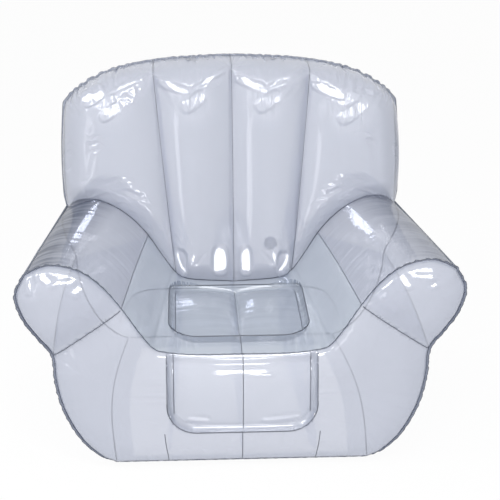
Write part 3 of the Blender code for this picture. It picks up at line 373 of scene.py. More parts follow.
def even_places(
    paths: Sequence[Array], places: Array, marks: Sequence[float], step: float,
) -> Array:
    """Places that lie about one step apart along several paths at once.

    Args:
        paths: each path's points at the given places.
        places: the fine places at which the paths were read.
        marks: places that stay in the result.
        step: the distance wanted between places.

    Returns:
        The places, from the first mark to the last.
    """
    along = np.mean([run_lengths(path) for path in paths], axis=0)
    result = [marks[0]]
    for first, last in zip(marks[:-1], marks[1:]):
        low, high = np.interp([first, last], places, along)
        count = max(2, math.ceil((high - low) / step))
        result.extend(np.interp(np.linspace(low, high, count + 1), along, places)[1:])
    return np.array(result)


@dataclass(frozen=True)
class Seams:
    """The chair's sizes and the curves along which its panels are welded."""

    front_y: float = -0.406
    seat_z: float = 0.289
    arm_rise: float = 0.230
    front_tip_x: float = 0.505
    base_seam_z: float = 0.013
    base_side_bow: float = 0.028
    seat_depth: float = 0.520
    junction_z: float = 0.287
    back_arm_rise: float = 0.219
    back_corner_x: float = 0.458
    outline_set_back: float = 0.109
    back_lean: float = 0.227
    crown_corner_x: float = 0.457
    crown_corner_z: float = 0.743
    top_z: float = 0.868
    back_side_bow: float = 0.006
    face_round: float = 0.070
    corner_pull_power: float = 9.0
    rear_base_y: float = 0.390
    scallop_depth: float = 0.0105
    scallop_rest: float = 0.15
    scallop_slope: float = 1.3
    scallop_end_fade: float = 1.5
    scallop_corner: float = 0.56
    scallop_corner_fade: float = 0.15
    scallop_side: float = 0.6
    taken_up_share: float = 0.6
    taken_up_x: float = 0.11
    taken_up_spread: float = 0.06

    @property
    def back_corner_z(self) -> float:
        """Height of the corner where the backrest's side meets the arm."""
        return self.junction_z + self.back_arm_rise * JUNCTION_SHARES[-1][1]

    def front_tip(self) -> Array:
        """The arm's outer front tip."""
        return np.array([
            self.front_tip_x, self.front_y, self.seat_z + self.arm_rise * FRONT_SEAM_SHARES[-1][1],
        ])

    def front_seam(self, places: Array) -> Array:
        """The W-shaped seam along the top of the front panel.

        Args:
            places: seam places, counted in seam points.

        Returns:
            One point for each place.
        """
        shares = smooth_points(FRONT_SEAM_SHARES, places)
        return np.stack([
            self.front_tip_x * shares[:, 0],
            np.full(len(shares), self.front_y),
            self.seat_z + self.arm_rise * shares[:, 1],
        ], axis=1)

    def front_side(self, places: Array) -> Array:
        """The front panel's side edge, from the arm's tip to the floor corner.

        Args:
            places: seam places, counted in seam points.

        Returns:
            One point for each place.
        """
        shares = smooth_points(FRONT_SIDE_SHARES, places)
        tip = self.front_tip()
        return np.stack([
            tip[0] * shares[:, 0],
            np.full(len(shares), self.front_y),
            self.base_seam_z + (tip[2] - self.base_seam_z) * shares[:, 1],
        ], axis=1)

    def rear_side(self, places: Array) -> Array:
        """The side panel's rear edge, from the backrest's corner to the floor corner.

        Args:
            places: seam places, counted in seam points.

        Returns:
            One point for each place.
        """
        shares = smooth_points(REAR_SIDE_SHARES, places)
        set_back = smooth_points(np.array(REAR_SIDE_SET_BACK_SHARES)[:, None], places)[:, 0]
        corner_y = float(self.outline_y(np.array(self.back_corner_z)))
        return np.stack([
            self.back_corner_x * shares[:, 0],
            corner_y + (self.rear_base_y - corner_y) * set_back,
            self.base_seam_z + (self.back_corner_z - self.base_seam_z) * shares[:, 1],
        ], axis=1)

    def face_y(self, z: Array) -> Array:
        """The leaning plane that the backrest's webs pull its face to."""
        return self.front_y + self.seat_depth + self.back_lean * (z - self.junction_z)

    def outline_y(self, z: Array) -> Array:
        """The leaning plane of the backrest's outline seam."""
        return self.face_y(z) + self.outline_set_back

    def crown(self, places: Array) -> Array:
        """The backrest's top seam, from the middle to its upper corner, with its scallops.

        Args:
            places: seam places, counted in seam points.

        Returns:
            One point for each place.
        """
        shares = smooth_points(CROWN_SHARES, places)
        x = self.crown_corner_x * shares[:, 0]
        z = self.crown_corner_z + (self.top_z - self.crown_corner_z) * shares[:, 1]
        at_corner = clamped(
            (x / self.crown_corner_x - self.scallop_corner) / self.scallop_corner_fade
        )
        off = (x - self.taken_up_x) / self.taken_up_spread
        most = np.maximum(at_corner, self.taken_up_share * np.exp(-(off**2)))
        ends = clamped((LAST_POINT - places) / self.scallop_end_fade)
        depth = self.scallop_depth * np.maximum(most, self.scallop_rest) * ends
        inward = depth * (1.0 - scallops(self.scallop_slope * x + self.crown_corner_z - z))
        x = x - inward * clamped(shares[:, 0] - self.scallop_side)
        z = z - inward
        return np.stack([x, self.outline_y(z), z], axis=1)

    def back_side(self, shares: Array) -> Array:
        """The backrest's side seam, from its upper corner down to the arm.

        Args:
            shares: shares of the way along the seam.

        Returns:
            One point for each share.
        """
        z = self.crown_corner_z + (self.back_corner_z - self.crown_corner_z) * shares
        x = self.crown_corner_x + (self.back_corner_x - self.crown_corner_x) * shares
        x = x + self.back_side_bow * np.sin(math.pi * shares)
        return np.stack([x, self.outline_y(z), z], axis=1)

    def back_outline_path(self) -> Array:
        """The backrest's outline in X and Z.

        Returns:
            The points of the right half.
        """
        steps = np.linspace(0.0, 1.0, DENSE_STEPS)
        path = np.vstack([self.crown(steps * LAST_POINT), self.back_side(steps)[1:]])
        return path[:, [0, 2]]

    def rear_outline_path(self) -> Array:
        """The rear panel's outline in X and Z, down to the floor corner.

        Returns:
            The points of the right half.
        """
        steps = np.linspace(0.0, 1.0, DENSE_STEPS)
        side = self.rear_side(steps * SIDE_LAST_POINT)
        return np.vstack([self.back_outline_path(), side[1:, [0, 2]]])

    def face_blend(self, xz: Array) -> Array:
        """0 on the backrest's outline, 1 on its face."""
        return round_edge(path_distance(xz, self.back_outline_path()), self.face_round)

    def junction(self, places: Array) -> Array:
        """The seam where the seat and arms meet the backrest.

        Args:
            places: seam places, counted in seam points.

        Returns:
            One point for each place.
        """
        shares = smooth_points(JUNCTION_SHARES, places)
        x = self.back_corner_x * shares[:, 0]
        z = self.junction_z + self.back_arm_rise * shares[:, 1]
        blend = self.face_blend(np.stack([x, z], axis=1))
        blend = blend * (1.0 - shares[:, 0] ** self.corner_pull_power)
        y = self.face_y(z) + (self.outline_y(z) - self.face_y(z)) * (1.0 - blend)
        return np.stack([x, y, z], axis=1)

    def arm_seam(self, shares: Array) -> Array:
        """The seam on top of the arm's outer side, from front to back.

        Args:
            shares: shares of the way along the seam.

        Returns:
            One point for each share.
        """
        start = self.front_tip()
        end = self.rear_side(np.array([0.0]))[0]
        return start + (end - start) * shares[:, None]

    def base_corner(self, front: bool) -> Array:
        """The floor corner at the front or the rear."""
        side = self.front_side if front else self.rear_side
        return side(np.array([SIDE_LAST_POINT]))[0]

    def base_side(self, shares: Array) -> Array:
        """The seam between a side panel and the base, from front to back.

        Args:
            shares: shares of the way along the seam.

        Returns:
            One point for each share.
        """
        start, end = self.base_corner(True), self.base_corner(False)
        bow = np.array([self.base_side_bow, 0.0, 0.0]) * np.sin(math.pi * shares)[:, None]
        return start + (end - start) * shares[:, None] + bow

    def base_end(self, places: Array, front: bool) -> Array:
        """The straight seam along the base's front or rear edge.

        Args:
            places: seam places, counted in seam points.
            front: True for the front edge, False for the rear one.

        Returns:
            One point for each place.
        """
        shares = smooth_points(np.array(BASE_SEAM_SHARES)[:, None], places)[:, 0]
        points = np.repeat(self.base_corner(front)[None, :], len(shares), axis=0)
        points[:, 0] *= shares
        return points


@dataclass(frozen=True)
class Skin(Seams):
    """The blown-up surfaces between the seams, before the film's own puckers."""

    front_bulge: float = 0.030
    arm_front_bulge: float = 0.042
    front_round: float = 0.075
    front_valley_share: float = 0.45
    arm_bulge: float = 0.006
    side_bulge: float = 0.010
    base_round: float = 0.045
    seat_bulge: float = 0.010
    seat_turn: float = 4.0
    tube_bulge: float = 0.034
    tube_roundness: float = 0.8
    belly_bulge: float = 0.026
    belly_reach: float = 0.060
    rear_top_y: float = 0.400
    rear_low_y: float = 0.444
    rear_round: float = 0.100
    rear_tube_bulge: float = 0.018
    rear_tube_fade: float = 0.160
    arch_z: float = 0.146
    web_foot_z: float = 0.345
    notch_reach: float = 0.014
    shoulder_reach: float = 0.046
    shoulder_power: float = 3.0
    shoulder_lip: float = 0.006

    def tube_profile(self, places: Array, face_share: Array | float) -> Array:
        """0 on the webs and 1 on the crest of each upright tube, by seam place.

        Args:
            places: seam places, counted in seam points.
            face_share: how far the tubes stand out there, 0 to 1.

        Returns:
            One share for each place.
        """
        inner = clamped(places / WEB_POINT)
        outer = np.clip((places - WEB_POINT) / (LAST_POINT - WEB_POINT), 0.0, 0.5)
        inner_tube = np.sin(math.pi * inner) ** self.tube_roundness
        outer_tube = np.sin(math.pi * outer) ** self.tube_roundness
        return np.where(places <= WEB_POINT, inner_tube, outer_tube) * face_share

    def backrest_y(self, xz: Array, places: Array) -> Array:
        """Y of the backrest's front with its flat top, its shoulder and its notches.

        Args:
            xz: points in X and Z.
            places: their seam places.

        Returns:
            Y for each point. The shoulder sags between the webs and rises to a
            notch at each of them.
        """
        z = xz[..., 1]
        tube = self.tube_profile(places, 1.0)
        top_path = self.crown(np.linspace(0.0, LAST_POINT, DENSE_STEPS))[:, [0, 2]]
        side_path = self.back_side(np.linspace(0.0, 1.0, DENSE_STEPS))[:, [0, 2]]
        reach = self.notch_reach + (self.shoulder_reach - self.notch_reach) * tube
        from_top = path_distance(xz, top_path)
        top = full_edge(from_top, reach, self.shoulder_power)
        side = full_edge(path_distance(xz, side_path), self.face_round, 2.0)
        foot_path = self.junction(np.linspace(0.0, LAST_POINT, DENSE_STEPS))[:, [0, 2]]
        rise = soft_edge(path_distance(xz, foot_path), self.belly_reach)
        lip = self.shoulder_lip * tube * np.exp(-((from_top - reach) / self.shoulder_reach) ** 2)
        bulge = (self.belly_bulge + self.tube_bulge * tube) * rise + lip
        back = self.outline_y(z)
        return back - (back - self.face_y(z) + bulge) * top * side

    def rear_face_y(self, z: Array) -> Array:
        """The rear panel's middle line, and the rounded foot under the arch.

        Args:
            z: heights.

        Returns:
            One Y for each height.
        """
        upper = clamped((self.top_z - z) / (self.top_z - self.arch_z))
        above = self.rear_top_y + (self.rear_low_y - self.rear_top_y) * upper
        foot = round_edge(z - self.base_seam_z, self.arch_z - self.base_seam_z)
        below = self.rear_base_y + (self.rear_low_y - self.rear_base_y) * foot
        return np.where(z >= self.arch_z, above, below)

    def rear_seam_y(self, z: Array) -> Array:
        """Y of the rear panel's side seam at a height.

        Args:
            z: heights.

        Returns:
            One Y for each height.
        """
        steps = self.rear_side(np.linspace(SIDE_LAST_POINT, 0.0, DENSE_STEPS))
        low = np.interp(z, steps[:, 2], steps[:, 1])
        return np.where(z >= self.back_corner_z, self.outline_y(z), low)

    def rear_y(self, xz: Array, places: Array) -> Array:
        """Y of the rear panel, for points in X and Z with their seam places.

        Args:
            xz: points in X and Z.
            places: their seam places.

        Returns:
            One Y for each point.
        """
        z = xz[..., 1]
        blend = round_edge(path_distance(xz, self.rear_outline_path()), self.rear_round)
        fade = soft_edge(z - self.web_foot_z, self.rear_tube_fade)
        tube = self.tube_profile(places, fade)
        seam = self.rear_seam_y(z)
        return seam + (self.rear_face_y(z) - seam + self.rear_tube_bulge * tube) * blend

    def arch(self, places: Array) -> Array:
        """The arched seam between the rear panel and the rear base panel.

        Args:
            places: seam places, counted in seam points.

        Returns:
            One point for each place.
        """
        shares = smooth_points(ARCH_SHARES, places)
        corner = self.rear_side(np.array([REAR_CORNER_POINT]))[0]
        x = corner[0] * shares[:, 0]
        z = corner[2] + (self.arch_z - corner[2]) * shares[:, 1]
        y = self.rear_y(np.stack([x, z], axis=1), places)
        if places[-1] == LAST_POINT:
            y[-1] = corner[1]
        return np.stack([x, y, z], axis=1)

    def front_boundary_path(self) -> Array:
        """The front panel's edge in X and Z, from the top middle round to the floor.

        Returns:
            The points of the right half.
        """
        steps = np.linspace(0.0, 1.0, DENSE_STEPS)
        top = self.front_seam(steps * LAST_POINT)
        side = self.front_side(steps * SIDE_LAST_POINT)
        bottom = self.base_end((1.0 - steps) * LAST_POINT, True)
        return np.vstack([top, side[1:], bottom[1:]])[:, [0, 2]]

    def front_web_path(self) -> Array:
        """The line on the front panel where the arm's web is welded.

        Returns:
            The line's two ends, in X and Z.
        """
        start = self.front_seam(np.array([ARM_WEB_POINT]))[0]
        end = self.front_side(np.array([PINCH_POINT]))[0]
        return np.stack([start, end])[:, [0, 2]]

    def front_panel_y(self, xz: Array) -> Array:
        """Y of the front panel, for points in X and Z on its right half.

        Args:
            xz: points in X and Z.

        Returns:
            One Y for each point.
        """
        edge = path_distance(xz, self.front_boundary_path())
        web = path_distance(xz, self.front_web_path())
        start, end = self.front_web_path()
        run = end - start
        above = (xz[..., 0] - start[0]) * run[1] - (xz[..., 1] - start[1]) * run[0] < 0.0
        crest = np.where(above, self.arm_front_bulge, self.front_bulge)
        share = self.front_valley_share
        valley = share + (1.0 - share) * soft_edge(web, self.front_round)
        return self.front_y - crest * round_edge(edge, self.front_round) * valley

    def skin_grid(self, places: Array, lengths: Array) -> Array:
        """Points of the seat and arm skin: rows run back, columns run outwards.

        Args:
            places: seam places, counted in seam points.
            lengths: shares of the way back.

        Returns:
            The grid, rows by columns by 3.
        """
        start, end = self.front_seam(places), self.junction(places)
        low = clamped(1.0 - places / ARM_WEB_POINT)[None, :]
        share = lengths[:, None]
        turn = share ** (1.0 + (self.seat_turn - 1.0) * low)
        grid = start[None] + (end - start)[None] * turn[..., None]
        grid[..., 1] = start[:, 1] + (end[:, 1] - start[:, 1]) * share
        swell = np.sin(math.pi * share)
        grid[..., 2] += self.seat_bulge * swell * low
        grid[..., 2] += self.arm_bulge * swell * (1.0 - low) * (places < LAST_POINT)
        return grid

    def seat_skin_z(self, xy: Array) -> Array:
        """Z of the seat skin over places in plan.

        Args:
            xy: points in X and Y.

        Returns:
            One Z for each point.
        """
        lengths = np.linspace(0.0, 1.0, DENSE_STEPS)
        rows = self.skin_grid(np.linspace(0.0, ARM_WEB_POINT, DENSE_STEPS), lengths)
        xs = np.linspace(0.0, rows[0, -1, 0], DENSE_STEPS)
        table = np.array([np.interp(xs, row[:, 0], row[:, 2]) for row in rows])
        across = clamped(np.abs(xy[..., 0]) / xs[-1]) * (DENSE_STEPS - 1)
        along = clamped((xy[..., 1] - self.front_y) / self.seat_depth) * (DENSE_STEPS - 1)
        row, column = (
            np.clip(place.astype(int), 0, DENSE_STEPS - 2) for place in (along, across)
        )
        u, v = across - column, along - row
        near = table[row, column] * (1 - u) + table[row, column + 1] * u
        far = table[row + 1, column] * (1 - u) + table[row + 1, column + 1] * u
        return near * (1 - v) + far * v

    def even_columns(self, paths: Sequence, marks: Sequence[float], step: float) -> Array:
        """Seam places about one step apart along the given seam functions."""
        fine = np.linspace(marks[0], marks[-1], 4 * DENSE_STEPS)
        return even_places([path(fine) for path in paths], fine, marks, step)


@dataclass(frozen=True)
class RoundedFrame:
    """The outline of a sunk pocket: a rectangle with round corners."""

    half_width: float
    low: float
    high: float
    corner: float
    far_corner: float

    def distance(self, across: Array, along: Array) -> Array:
        """Signed distance to the outline, below zero inside it.

        Args:
            across: distances across the pocket.
            along: distances along the pocket.

        Returns:
            One distance for each place.
        """
        middle = 0.5 * (self.low + self.high)
        corner = np.where(along > middle, self.far_corner, self.corner)
        x = np.abs(across) - (self.half_width - corner)
        y = np.abs(along - middle) - (0.5 * (self.high - self.low) - corner)
        outside = np.hypot(np.maximum(x, 0.0), np.maximum(y, 0.0))
        return outside + np.minimum(np.maximum(x, y), 0.0) - corner

    def snap(self, across: Array, along: Array, reach: float) -> tuple[Array, Array]:
        """Moves places that are within reach of the outline onto it.

        Args:
            across: distances across the pocket.
            along: distances along the pocket.
            reach: how near a place has to be.

        Returns:
            The places across and along.
        """
        gap = self.distance(across, along)
        tiny = 0.01 * reach
        slope_x = (self.distance(across + tiny, along) - gap) / tiny
        slope_y = (self.distance(across, along + tiny) - gap) / tiny
        near = np.abs(gap) < reach
        return (
            np.where(near, across - gap * slope_x, across),
            np.where(near, along - gap * slope_y, along),
        )

    def columns(self, step: float) -> Array:
        """Places across the pocket, about one step apart."""
        count = math.ceil(2 * self.half_width / step)
        return np.linspace(-self.half_width, self.half_width, count + 1)

    def path(self, steps: int) -> Array:
        """The outline as 2D points, anticlockwise from the lower right corner.

        Args:
            steps: points for each corner.

        Returns:
            The points, one row each.
        """
        near, far = self.corner, self.far_corner
        middles = (
            (self.half_width - near, self.low + near, -0.5, near),
            (self.half_width - far, self.high - far, 0.0, far),
            (far - self.half_width, self.high - far, 0.5, far),
            (near - self.half_width, self.low + near, 1.0, near),
        )
        angles = np.linspace(0.0, 0.5 * math.pi, steps)
        return np.vstack([
            np.stack([x + corner * np.cos(angles + math.pi * turn),
                      y + corner * np.sin(angles + math.pi * turn)], axis=1)
            for x, y, turn, corner in middles
        ])


# ---- finishes


class NodeBoard:
    """The node tree of a material or a world, with short calls to add and join nodes."""

    def __init__(self, owner: Material | bpy.types.World) -> None:
        """Empties the tree.

        Args:
            owner: the material or the world.
        """
        owner.use_nodes = True
        self.owner = owner
        self.tree = owner.node_tree
        self.tree.nodes.clear()

    def add(self, kind: str, inputs: dict | None = None, **settings) -> bpy.types.Node:
        """Adds a node.

        Args:
            kind: the node's Blender type.
            inputs: socket name or number to a value, or to another node's output socket.
            **settings: the node's own properties.

        Returns:
            The new node.
        """
        node = self.tree.nodes.new(kind)
        for name, value in settings.items():
            setattr(node, name, value)
        for name, value in (inputs or {}).items():
            socket = node.inputs[name]
            if isinstance(value, Socket):
                self.tree.links.new(value, socket)
            else:
                socket.default_value = value
        return node

    def place(self) -> Socket:
        """The Object coordinates."""
        return self.add("ShaderNodeTexCoord").outputs["Object"]

    def mark(self, name: str) -> Socket:
        """The value of an attribute of the mesh's points."""
        return self.add("ShaderNodeAttribute", attribute_name=name).outputs["Fac"]

    def number(self, operation: str, *values: float | Socket, clamp: bool = False) -> Socket:
        """The result of a Math node."""
        inputs = dict(enumerate(values))
        return self.add("ShaderNodeMath", inputs, operation=operation, use_clamp=clamp).outputs[0]

    def times(self, first: Socket, second: Color | Socket) -> Socket:
        """Two vectors or colours, multiplied part by part."""
        inputs = {0: first, 1: second}
        return self.add("ShaderNodeVectorMath", inputs, operation="MULTIPLY").outputs[0]

    def ranged(self, value: Socket, low: float, high: float, ends: tuple = (0.0, 1.0)) -> Socket:
        """A value mapped from between the ends to between low and high."""
        return self.add("ShaderNodeMapRange", {
            "Value": value, "From Min": ends[0], "From Max": ends[1], "To Min": low, "To Max": high,
        }).outputs["Result"]

    def noise(
        self, place: Socket, scale: float, detail: float, roughness: float = 0.5, sway: float = 0.0,
    ) -> Socket:
        """A noise texture's value at a place."""
        return self.add("ShaderNodeTexNoise", {
            "Vector": place, "Scale": scale, "Detail": detail, "Roughness": roughness,
            "Distortion": sway,
        }).outputs["Fac"]

    def blend(self, share: Socket, first: Color, last: Color) -> Socket:
        """A colour between two colours."""
        inputs = {"Factor": share, "A": (*first, 1.0), "B": (*last, 1.0)}
        return self.add("ShaderNodeMix", inputs, data_type="RGBA").outputs["Result"]

    def bump(
        self, height: Socket, depth: float, strength: float | Socket, normal: Socket | None = None,
    ) -> Socket:
        """The normal of a surface raised by a height.

        Args:
            height: the height, 0 to 1.
            depth: metres for a height of 1.
            strength: how much of it shows.
            normal: the normal to build on, or None for the surface's own.

        Returns:
            The new normal.
        """
        inputs = {"Height": height, "Distance": depth, "Strength": strength}
        inputs |= {} if normal is None else {"Normal": normal}
        return self.add("ShaderNodeBump", inputs).outputs["Normal"]

    def slant(self, blend: float, normal: Socket) -> Socket:
        """0 where the surface faces the eye, 1 where it is seen edge-on."""
        inputs = {"Blend": blend, "Normal": normal}
        return self.add("ShaderNodeLayerWeight", inputs).outputs["Facing"]

    def solid(
        self, color: Color | Socket, roughness: float, normal: Socket, more: dict | None = None,
    ) -> Socket:
        """A principled shader."""
        return self.add("ShaderNodeBsdfPrincipled", {
            "Base Color": color, "Roughness": roughness, "Normal": normal, **(more or {}),
        }).outputs[0]

    def mixed(self, share: Socket, first: Socket, second: Socket) -> Socket:
        """Two shaders, mixed by the second one's share."""
        return self.add("ShaderNodeMixShader", {"Fac": share, 1: first, 2: second}).outputs[0]

    def finish(self, surface: Socket) -> Material:
        """Joins the surface to the output and returns the material."""
        self.add("ShaderNodeOutputMaterial", {"Surface": surface})
        return self.owner


@dataclass(frozen=True)
class FilmFinish:
    """Clear soft film: tinted where it is looked through, glossy, a little milky."""

    name: str
    face_tint: Color
    edge_tint: Color
    haze_color: Color
    edge_haze: Color
    haze: float = 0.36
    seam_haze: float = 0.06
    milk_roughness: float = 0.35
    gloss_color: Color = (0.95, 0.96, 1.0)
    gloss_roughness: float = 0.05
    shine: float = 0.09
    slant_shine: float = 0.55
    slant_power: float = 5.0
    edge_blend: float = 0.35
    fold_sway: float = 0.35
    upright_scale: Color = (110.0, 12.0, 12.0)
    level_scale: Color = (12.0, 60.0, 60.0)
    crease_depth: float = 0.0030
    fine_scale: float = 45.0
    fine_depth: float = 0.00025
    # Painted shade: where points are marked as shaded, the tint and the haze darken towards this
    # colour, in noisy streaks.
    dusk: Color = (0.60, 0.62, 0.65)
    streak_scale: Color = (7.0, 55.0, 7.0)
    streak_sway: float = 0.5
    streak_ends: tuple[float, float] = (0.35, 0.65)
    least_streak: float = 0.55

    def build(self) -> Material:
        """Makes the film's material.

        Returns:
            The material.
        """
        board = NodeBoard(bpy.data.materials.new(self.name))
        place = board.place()
        upright, level = board.mark(UPRIGHT_CREASES), board.mark(LEVEL_CREASES)
        seam = board.number("MAXIMUM", upright, level)
        bump = board.bump(board.noise(place, self.fine_scale, 2.0), self.fine_depth, 0.5)
        for crease, stretch in ((upright, self.upright_scale), (level, self.level_scale)):
            folds = board.noise(board.times(place, stretch), 1.0, 2.0, sway=self.fold_sway)
            bump = board.bump(folds, self.crease_depth, crease, bump)
        facing = board.slant(self.edge_blend, bump)
        # painted shade on the tint and the haze, where points are marked as shaded
        light = self.light_share(board, place)
        tint, cloud = (
            board.times(board.blend(facing, face, edge), light)
            for face, edge in ((self.face_tint, self.edge_tint), (self.haze_color, self.edge_haze))
        )
        clear = board.add("ShaderNodeBsdfTransparent", {"Color": tint}).outputs[0]
        milky = board.solid(cloud, self.milk_roughness, bump)
        body = board.mixed(board.ranged(seam, self.haze, self.haze + self.seam_haze), clear, milky)
        gloss = board.solid((*self.gloss_color, 1.0), self.gloss_roughness, bump, {"Metallic": 1.0})
        rise = board.number("POWER", board.slant(0.5, bump), self.slant_power)
        mirror = board.ranged(rise, self.shine, self.slant_shine)
        return board.finish(board.mixed(mirror, body, gloss))

    def light_share(self, board: NodeBoard, place: Socket) -> Socket:
        """Painted shade: the film's tint and haze, darkened in streaks where it is marked as
        shaded.

        Args:
            board: the film's node tree.
            place: the Object coordinates.

        Returns:
            The share as a colour, white on plain film.
        """
        along = board.times(place, self.streak_scale)
        streaks = board.noise(along, 1.0, 2.0, sway=self.streak_sway)
        depth = board.ranged(streaks, self.least_streak, 1.0, self.streak_ends)
        share = board.number("MULTIPLY", board.mark(SHADED), depth)
        return board.blend(share, (1.0, 1.0, 1.0), self.dusk)


@dataclass(frozen=True)
class WeldFinish:
    """Fused film: darker and duller than the sheet, mottled by the heated bar."""

    name: str
    dark: Color
    light: Color
    roughness: float = 0.32
    mottle_scale: float = 220.0
    mottle_depth: float = 0.0003
    mottle_share: float = 0.45
    mottle_shift: float = -0.10
    band_share: float = 0.75

    def build(self) -> Material:
        """Makes the weld's material.

        Returns:
            The material.
        """
        board = NodeBoard(bpy.data.materials.new(self.name))
        mottle = board.noise(board.place(), self.mottle_scale, 4.0, 0.6)
        band = board.number("SINE", board.number("MULTIPLY", board.mark(ACROSS_WELD), math.pi))
        share = board.number("MULTIPLY_ADD", mottle, self.mottle_share, self.mottle_shift)
        share = board.number("MULTIPLY_ADD", band, self.band_share, share, clamp=True)
        color = board.blend(share, self.dark, self.light)
        bump = board.bump(mottle, self.mottle_depth, 0.5)
        return board.finish(board.solid(color, self.roughness, bump))


@dataclass(frozen=True)
class MouldedFinish:
    """Soft moulded plastic, cloudy with a satin skin."""

    name: str
    base: Color
    cloud: Color
    roughness: float = 0.28
    cloud_scale: float = 90.0
    grain_scale: float = 500.0
    grain_depth: float = 0.0001

    def build(self) -> Material:
        """Makes the moulded plastic's material.

        Returns:
            The material.
        """
        board = NodeBoard(bpy.data.materials.new(self.name))
        place = board.place()
        color = board.blend(board.noise(place, self.cloud_scale, 3.0), self.base, self.cloud)
        bump = board.bump(board.noise(place, self.grain_scale, 2.0), self.grain_depth, 0.4)
        return board.finish(board.solid(color, self.roughness, bump, {
            "Subsurface Weight": 0.2, "Subsurface Radius": (0.004, 0.004, 0.005),
        }))


@dataclass(frozen=True)
class Finishes:
    """Every finish on the chair, built once."""

    film: Material
    back_film: Material
    seat_film: Material
    arm_film: Material
    rear_film: Material
    web_film: Material
    weld: Material
    flange: Material
    valve: Material

    @classmethod
    def build(cls) -> "Finishes":
        """Makes the chair's materials.

        Returns:
            The finishes.
        """
        film = FilmFinish(
            "clear_film", face_tint=(0.605, 0.629, 0.711), edge_tint=(0.47, 0.50, 0.58),
            haze_color=(0.69, 0.72, 0.81), edge_haze=(0.54, 0.57, 0.65),
        )
        # The backrest's film: a darker copy of the clear film, as painted shade.
        back = replace(
            film, name="back_film", face_tint=(0.515, 0.536, 0.610),
            haze_color=(0.635, 0.663, 0.745), shine=0.07,
        )
        # The seat's film: a darker, slightly greener copy of the clear film; the darkening is
        # painted shade on the seat between the arms and the backrest.
        seat = FilmFinish(
            "seat_film", face_tint=(0.585, 0.638, 0.716), edge_tint=(0.47, 0.51, 0.58),
            haze_color=(0.63, 0.68, 0.755), edge_haze=(0.54, 0.58, 0.645),
            shine=0.04,
        )
        # The arms' film: a copy of the clear film with lighter faces, as painted light, and a dark
        # painted-shade colour for its outer tops.
        arm = FilmFinish(
            "arm_film", face_tint=(0.740, 0.765, 0.840), edge_tint=(0.37, 0.39, 0.45),
            haze_color=(0.76, 0.79, 0.875), edge_haze=(0.43, 0.45, 0.51),
            slant_shine=0.30, dusk=(0.08, 0.11, 0.18),
        )
        rear = FilmFinish(
            "rear_film", face_tint=(0.870, 0.882, 0.912), edge_tint=(0.70, 0.72, 0.77),
            haze_color=(0.72, 0.75, 0.84), edge_haze=(0.58, 0.61, 0.68),
            haze=0.10, shine=0.025, slant_shine=0.25,
        )
        web = FilmFinish(
            "web_film", face_tint=(0.975, 0.978, 0.985), edge_tint=(0.90, 0.91, 0.94),
            haze_color=(0.76, 0.79, 0.88), edge_haze=(0.76, 0.79, 0.88),
            haze=0.01, seam_haze=0.0, shine=0.005, slant_shine=0.04,
        )
        weld = WeldFinish("fused_edge", dark=(0.09, 0.10, 0.125), light=(0.20, 0.22, 0.27))
        flange = WeldFinish("crimped_edge", dark=(0.055, 0.06, 0.075), light=(0.34, 0.37, 0.45))
        valve = MouldedFinish(
            "soft_valve_plastic", base=(0.72, 0.74, 0.80), cloud=(0.80, 0.82, 0.87),
        )
        made = (film, back, seat, arm, rear, web, weld, flange, valve)
        return cls(*(finish.build() for finish in made))


# ---- meshes


def dress(mesh: Mesh, material: Material) -> None:
    """Gives a mesh one material."""
    mesh.materials.clear()
    mesh.materials.append(material)


def link_mesh(name: str, mesh: Mesh, material: Material) -> Item:
    """Puts a mesh in the scene.

    Args:
        name: the object's name.
        mesh: its mesh.
        material: its one material.

    Returns:
        The object.
    """
    item = bpy.data.objects.new(name, mesh)
    bpy.context.scene.collection.objects.link(item)
    dress(mesh, material)
    return item


@contextmanager
def cage_of(mesh: Mesh) -> Iterator[bmesh.types.BMesh]:
    """Opens a mesh for an edit, and writes it back afterwards.

    Args:
        mesh: the mesh to change.

    Yields:
        Its editable copy.
    """
    cage = bmesh.new()
    cage.from_mesh(mesh)
    yield cage
    cage.to_mesh(mesh)
    cage.free()


def mark_points(mesh: Mesh, name: str, values: Array) -> None:
    """Writes a number for each point of a mesh."""
    store = mesh.attributes.new(name, "FLOAT", "POINT")
    store.data.foreach_set("value", values.astype(np.float32).ravel())


def baked(source: Item, name: str) -> Mesh:
    """Takes the mesh that an object makes, and drops the object.

    Args:
        source: an object with a curve or a modifier.
        name: the new mesh's name.

    Returns:
        The plain mesh.
    """
    evaluated = source.evaluated_get(bpy.context.evaluated_depsgraph_get())
    mesh = bpy.data.meshes.new_from_object(evaluated)
    bpy.data.objects.remove(source, do_unlink=True)
    mesh.name = name
    return mesh


def make_solid(name: str, points: Array, faces: Sequence[Sequence[int]]) -> Mesh:
    """A smooth closed mesh whose faces all point outwards.

    Args:
        name: the mesh's name.
        points: one row each.
        faces: the points of each face.

    Returns:
        The mesh.
    """
    mesh = bpy.data.meshes.new(name)
    mesh.from_pydata([tuple(point) for point in points], [], faces)
    with cage_of(mesh) as cage:
        bmesh.ops.recalc_face_normals(cage, faces=cage.faces)
    mesh.shade_smooth()
    return mesh


def sheet_faces(rows: int, columns: int, kept: Array, flipped: bool) -> list[tuple[int, ...]]:
    """The quads of a grid of points, only where kept is true.

    Args:
        rows: the grid's rows.
        columns: the grid's columns.
        kept: which quads stay.
        flipped: whether to turn them round.

    Returns:
        The points of each quad.
    """
    faces = []
    for row, column in zip(*np.nonzero(kept)):
        corner = int(row) * columns + int(column)
        face = (corner, corner + columns, corner + columns + 1, corner + 1)
        faces.append(face[::-1] if flipped else face)
    return faces


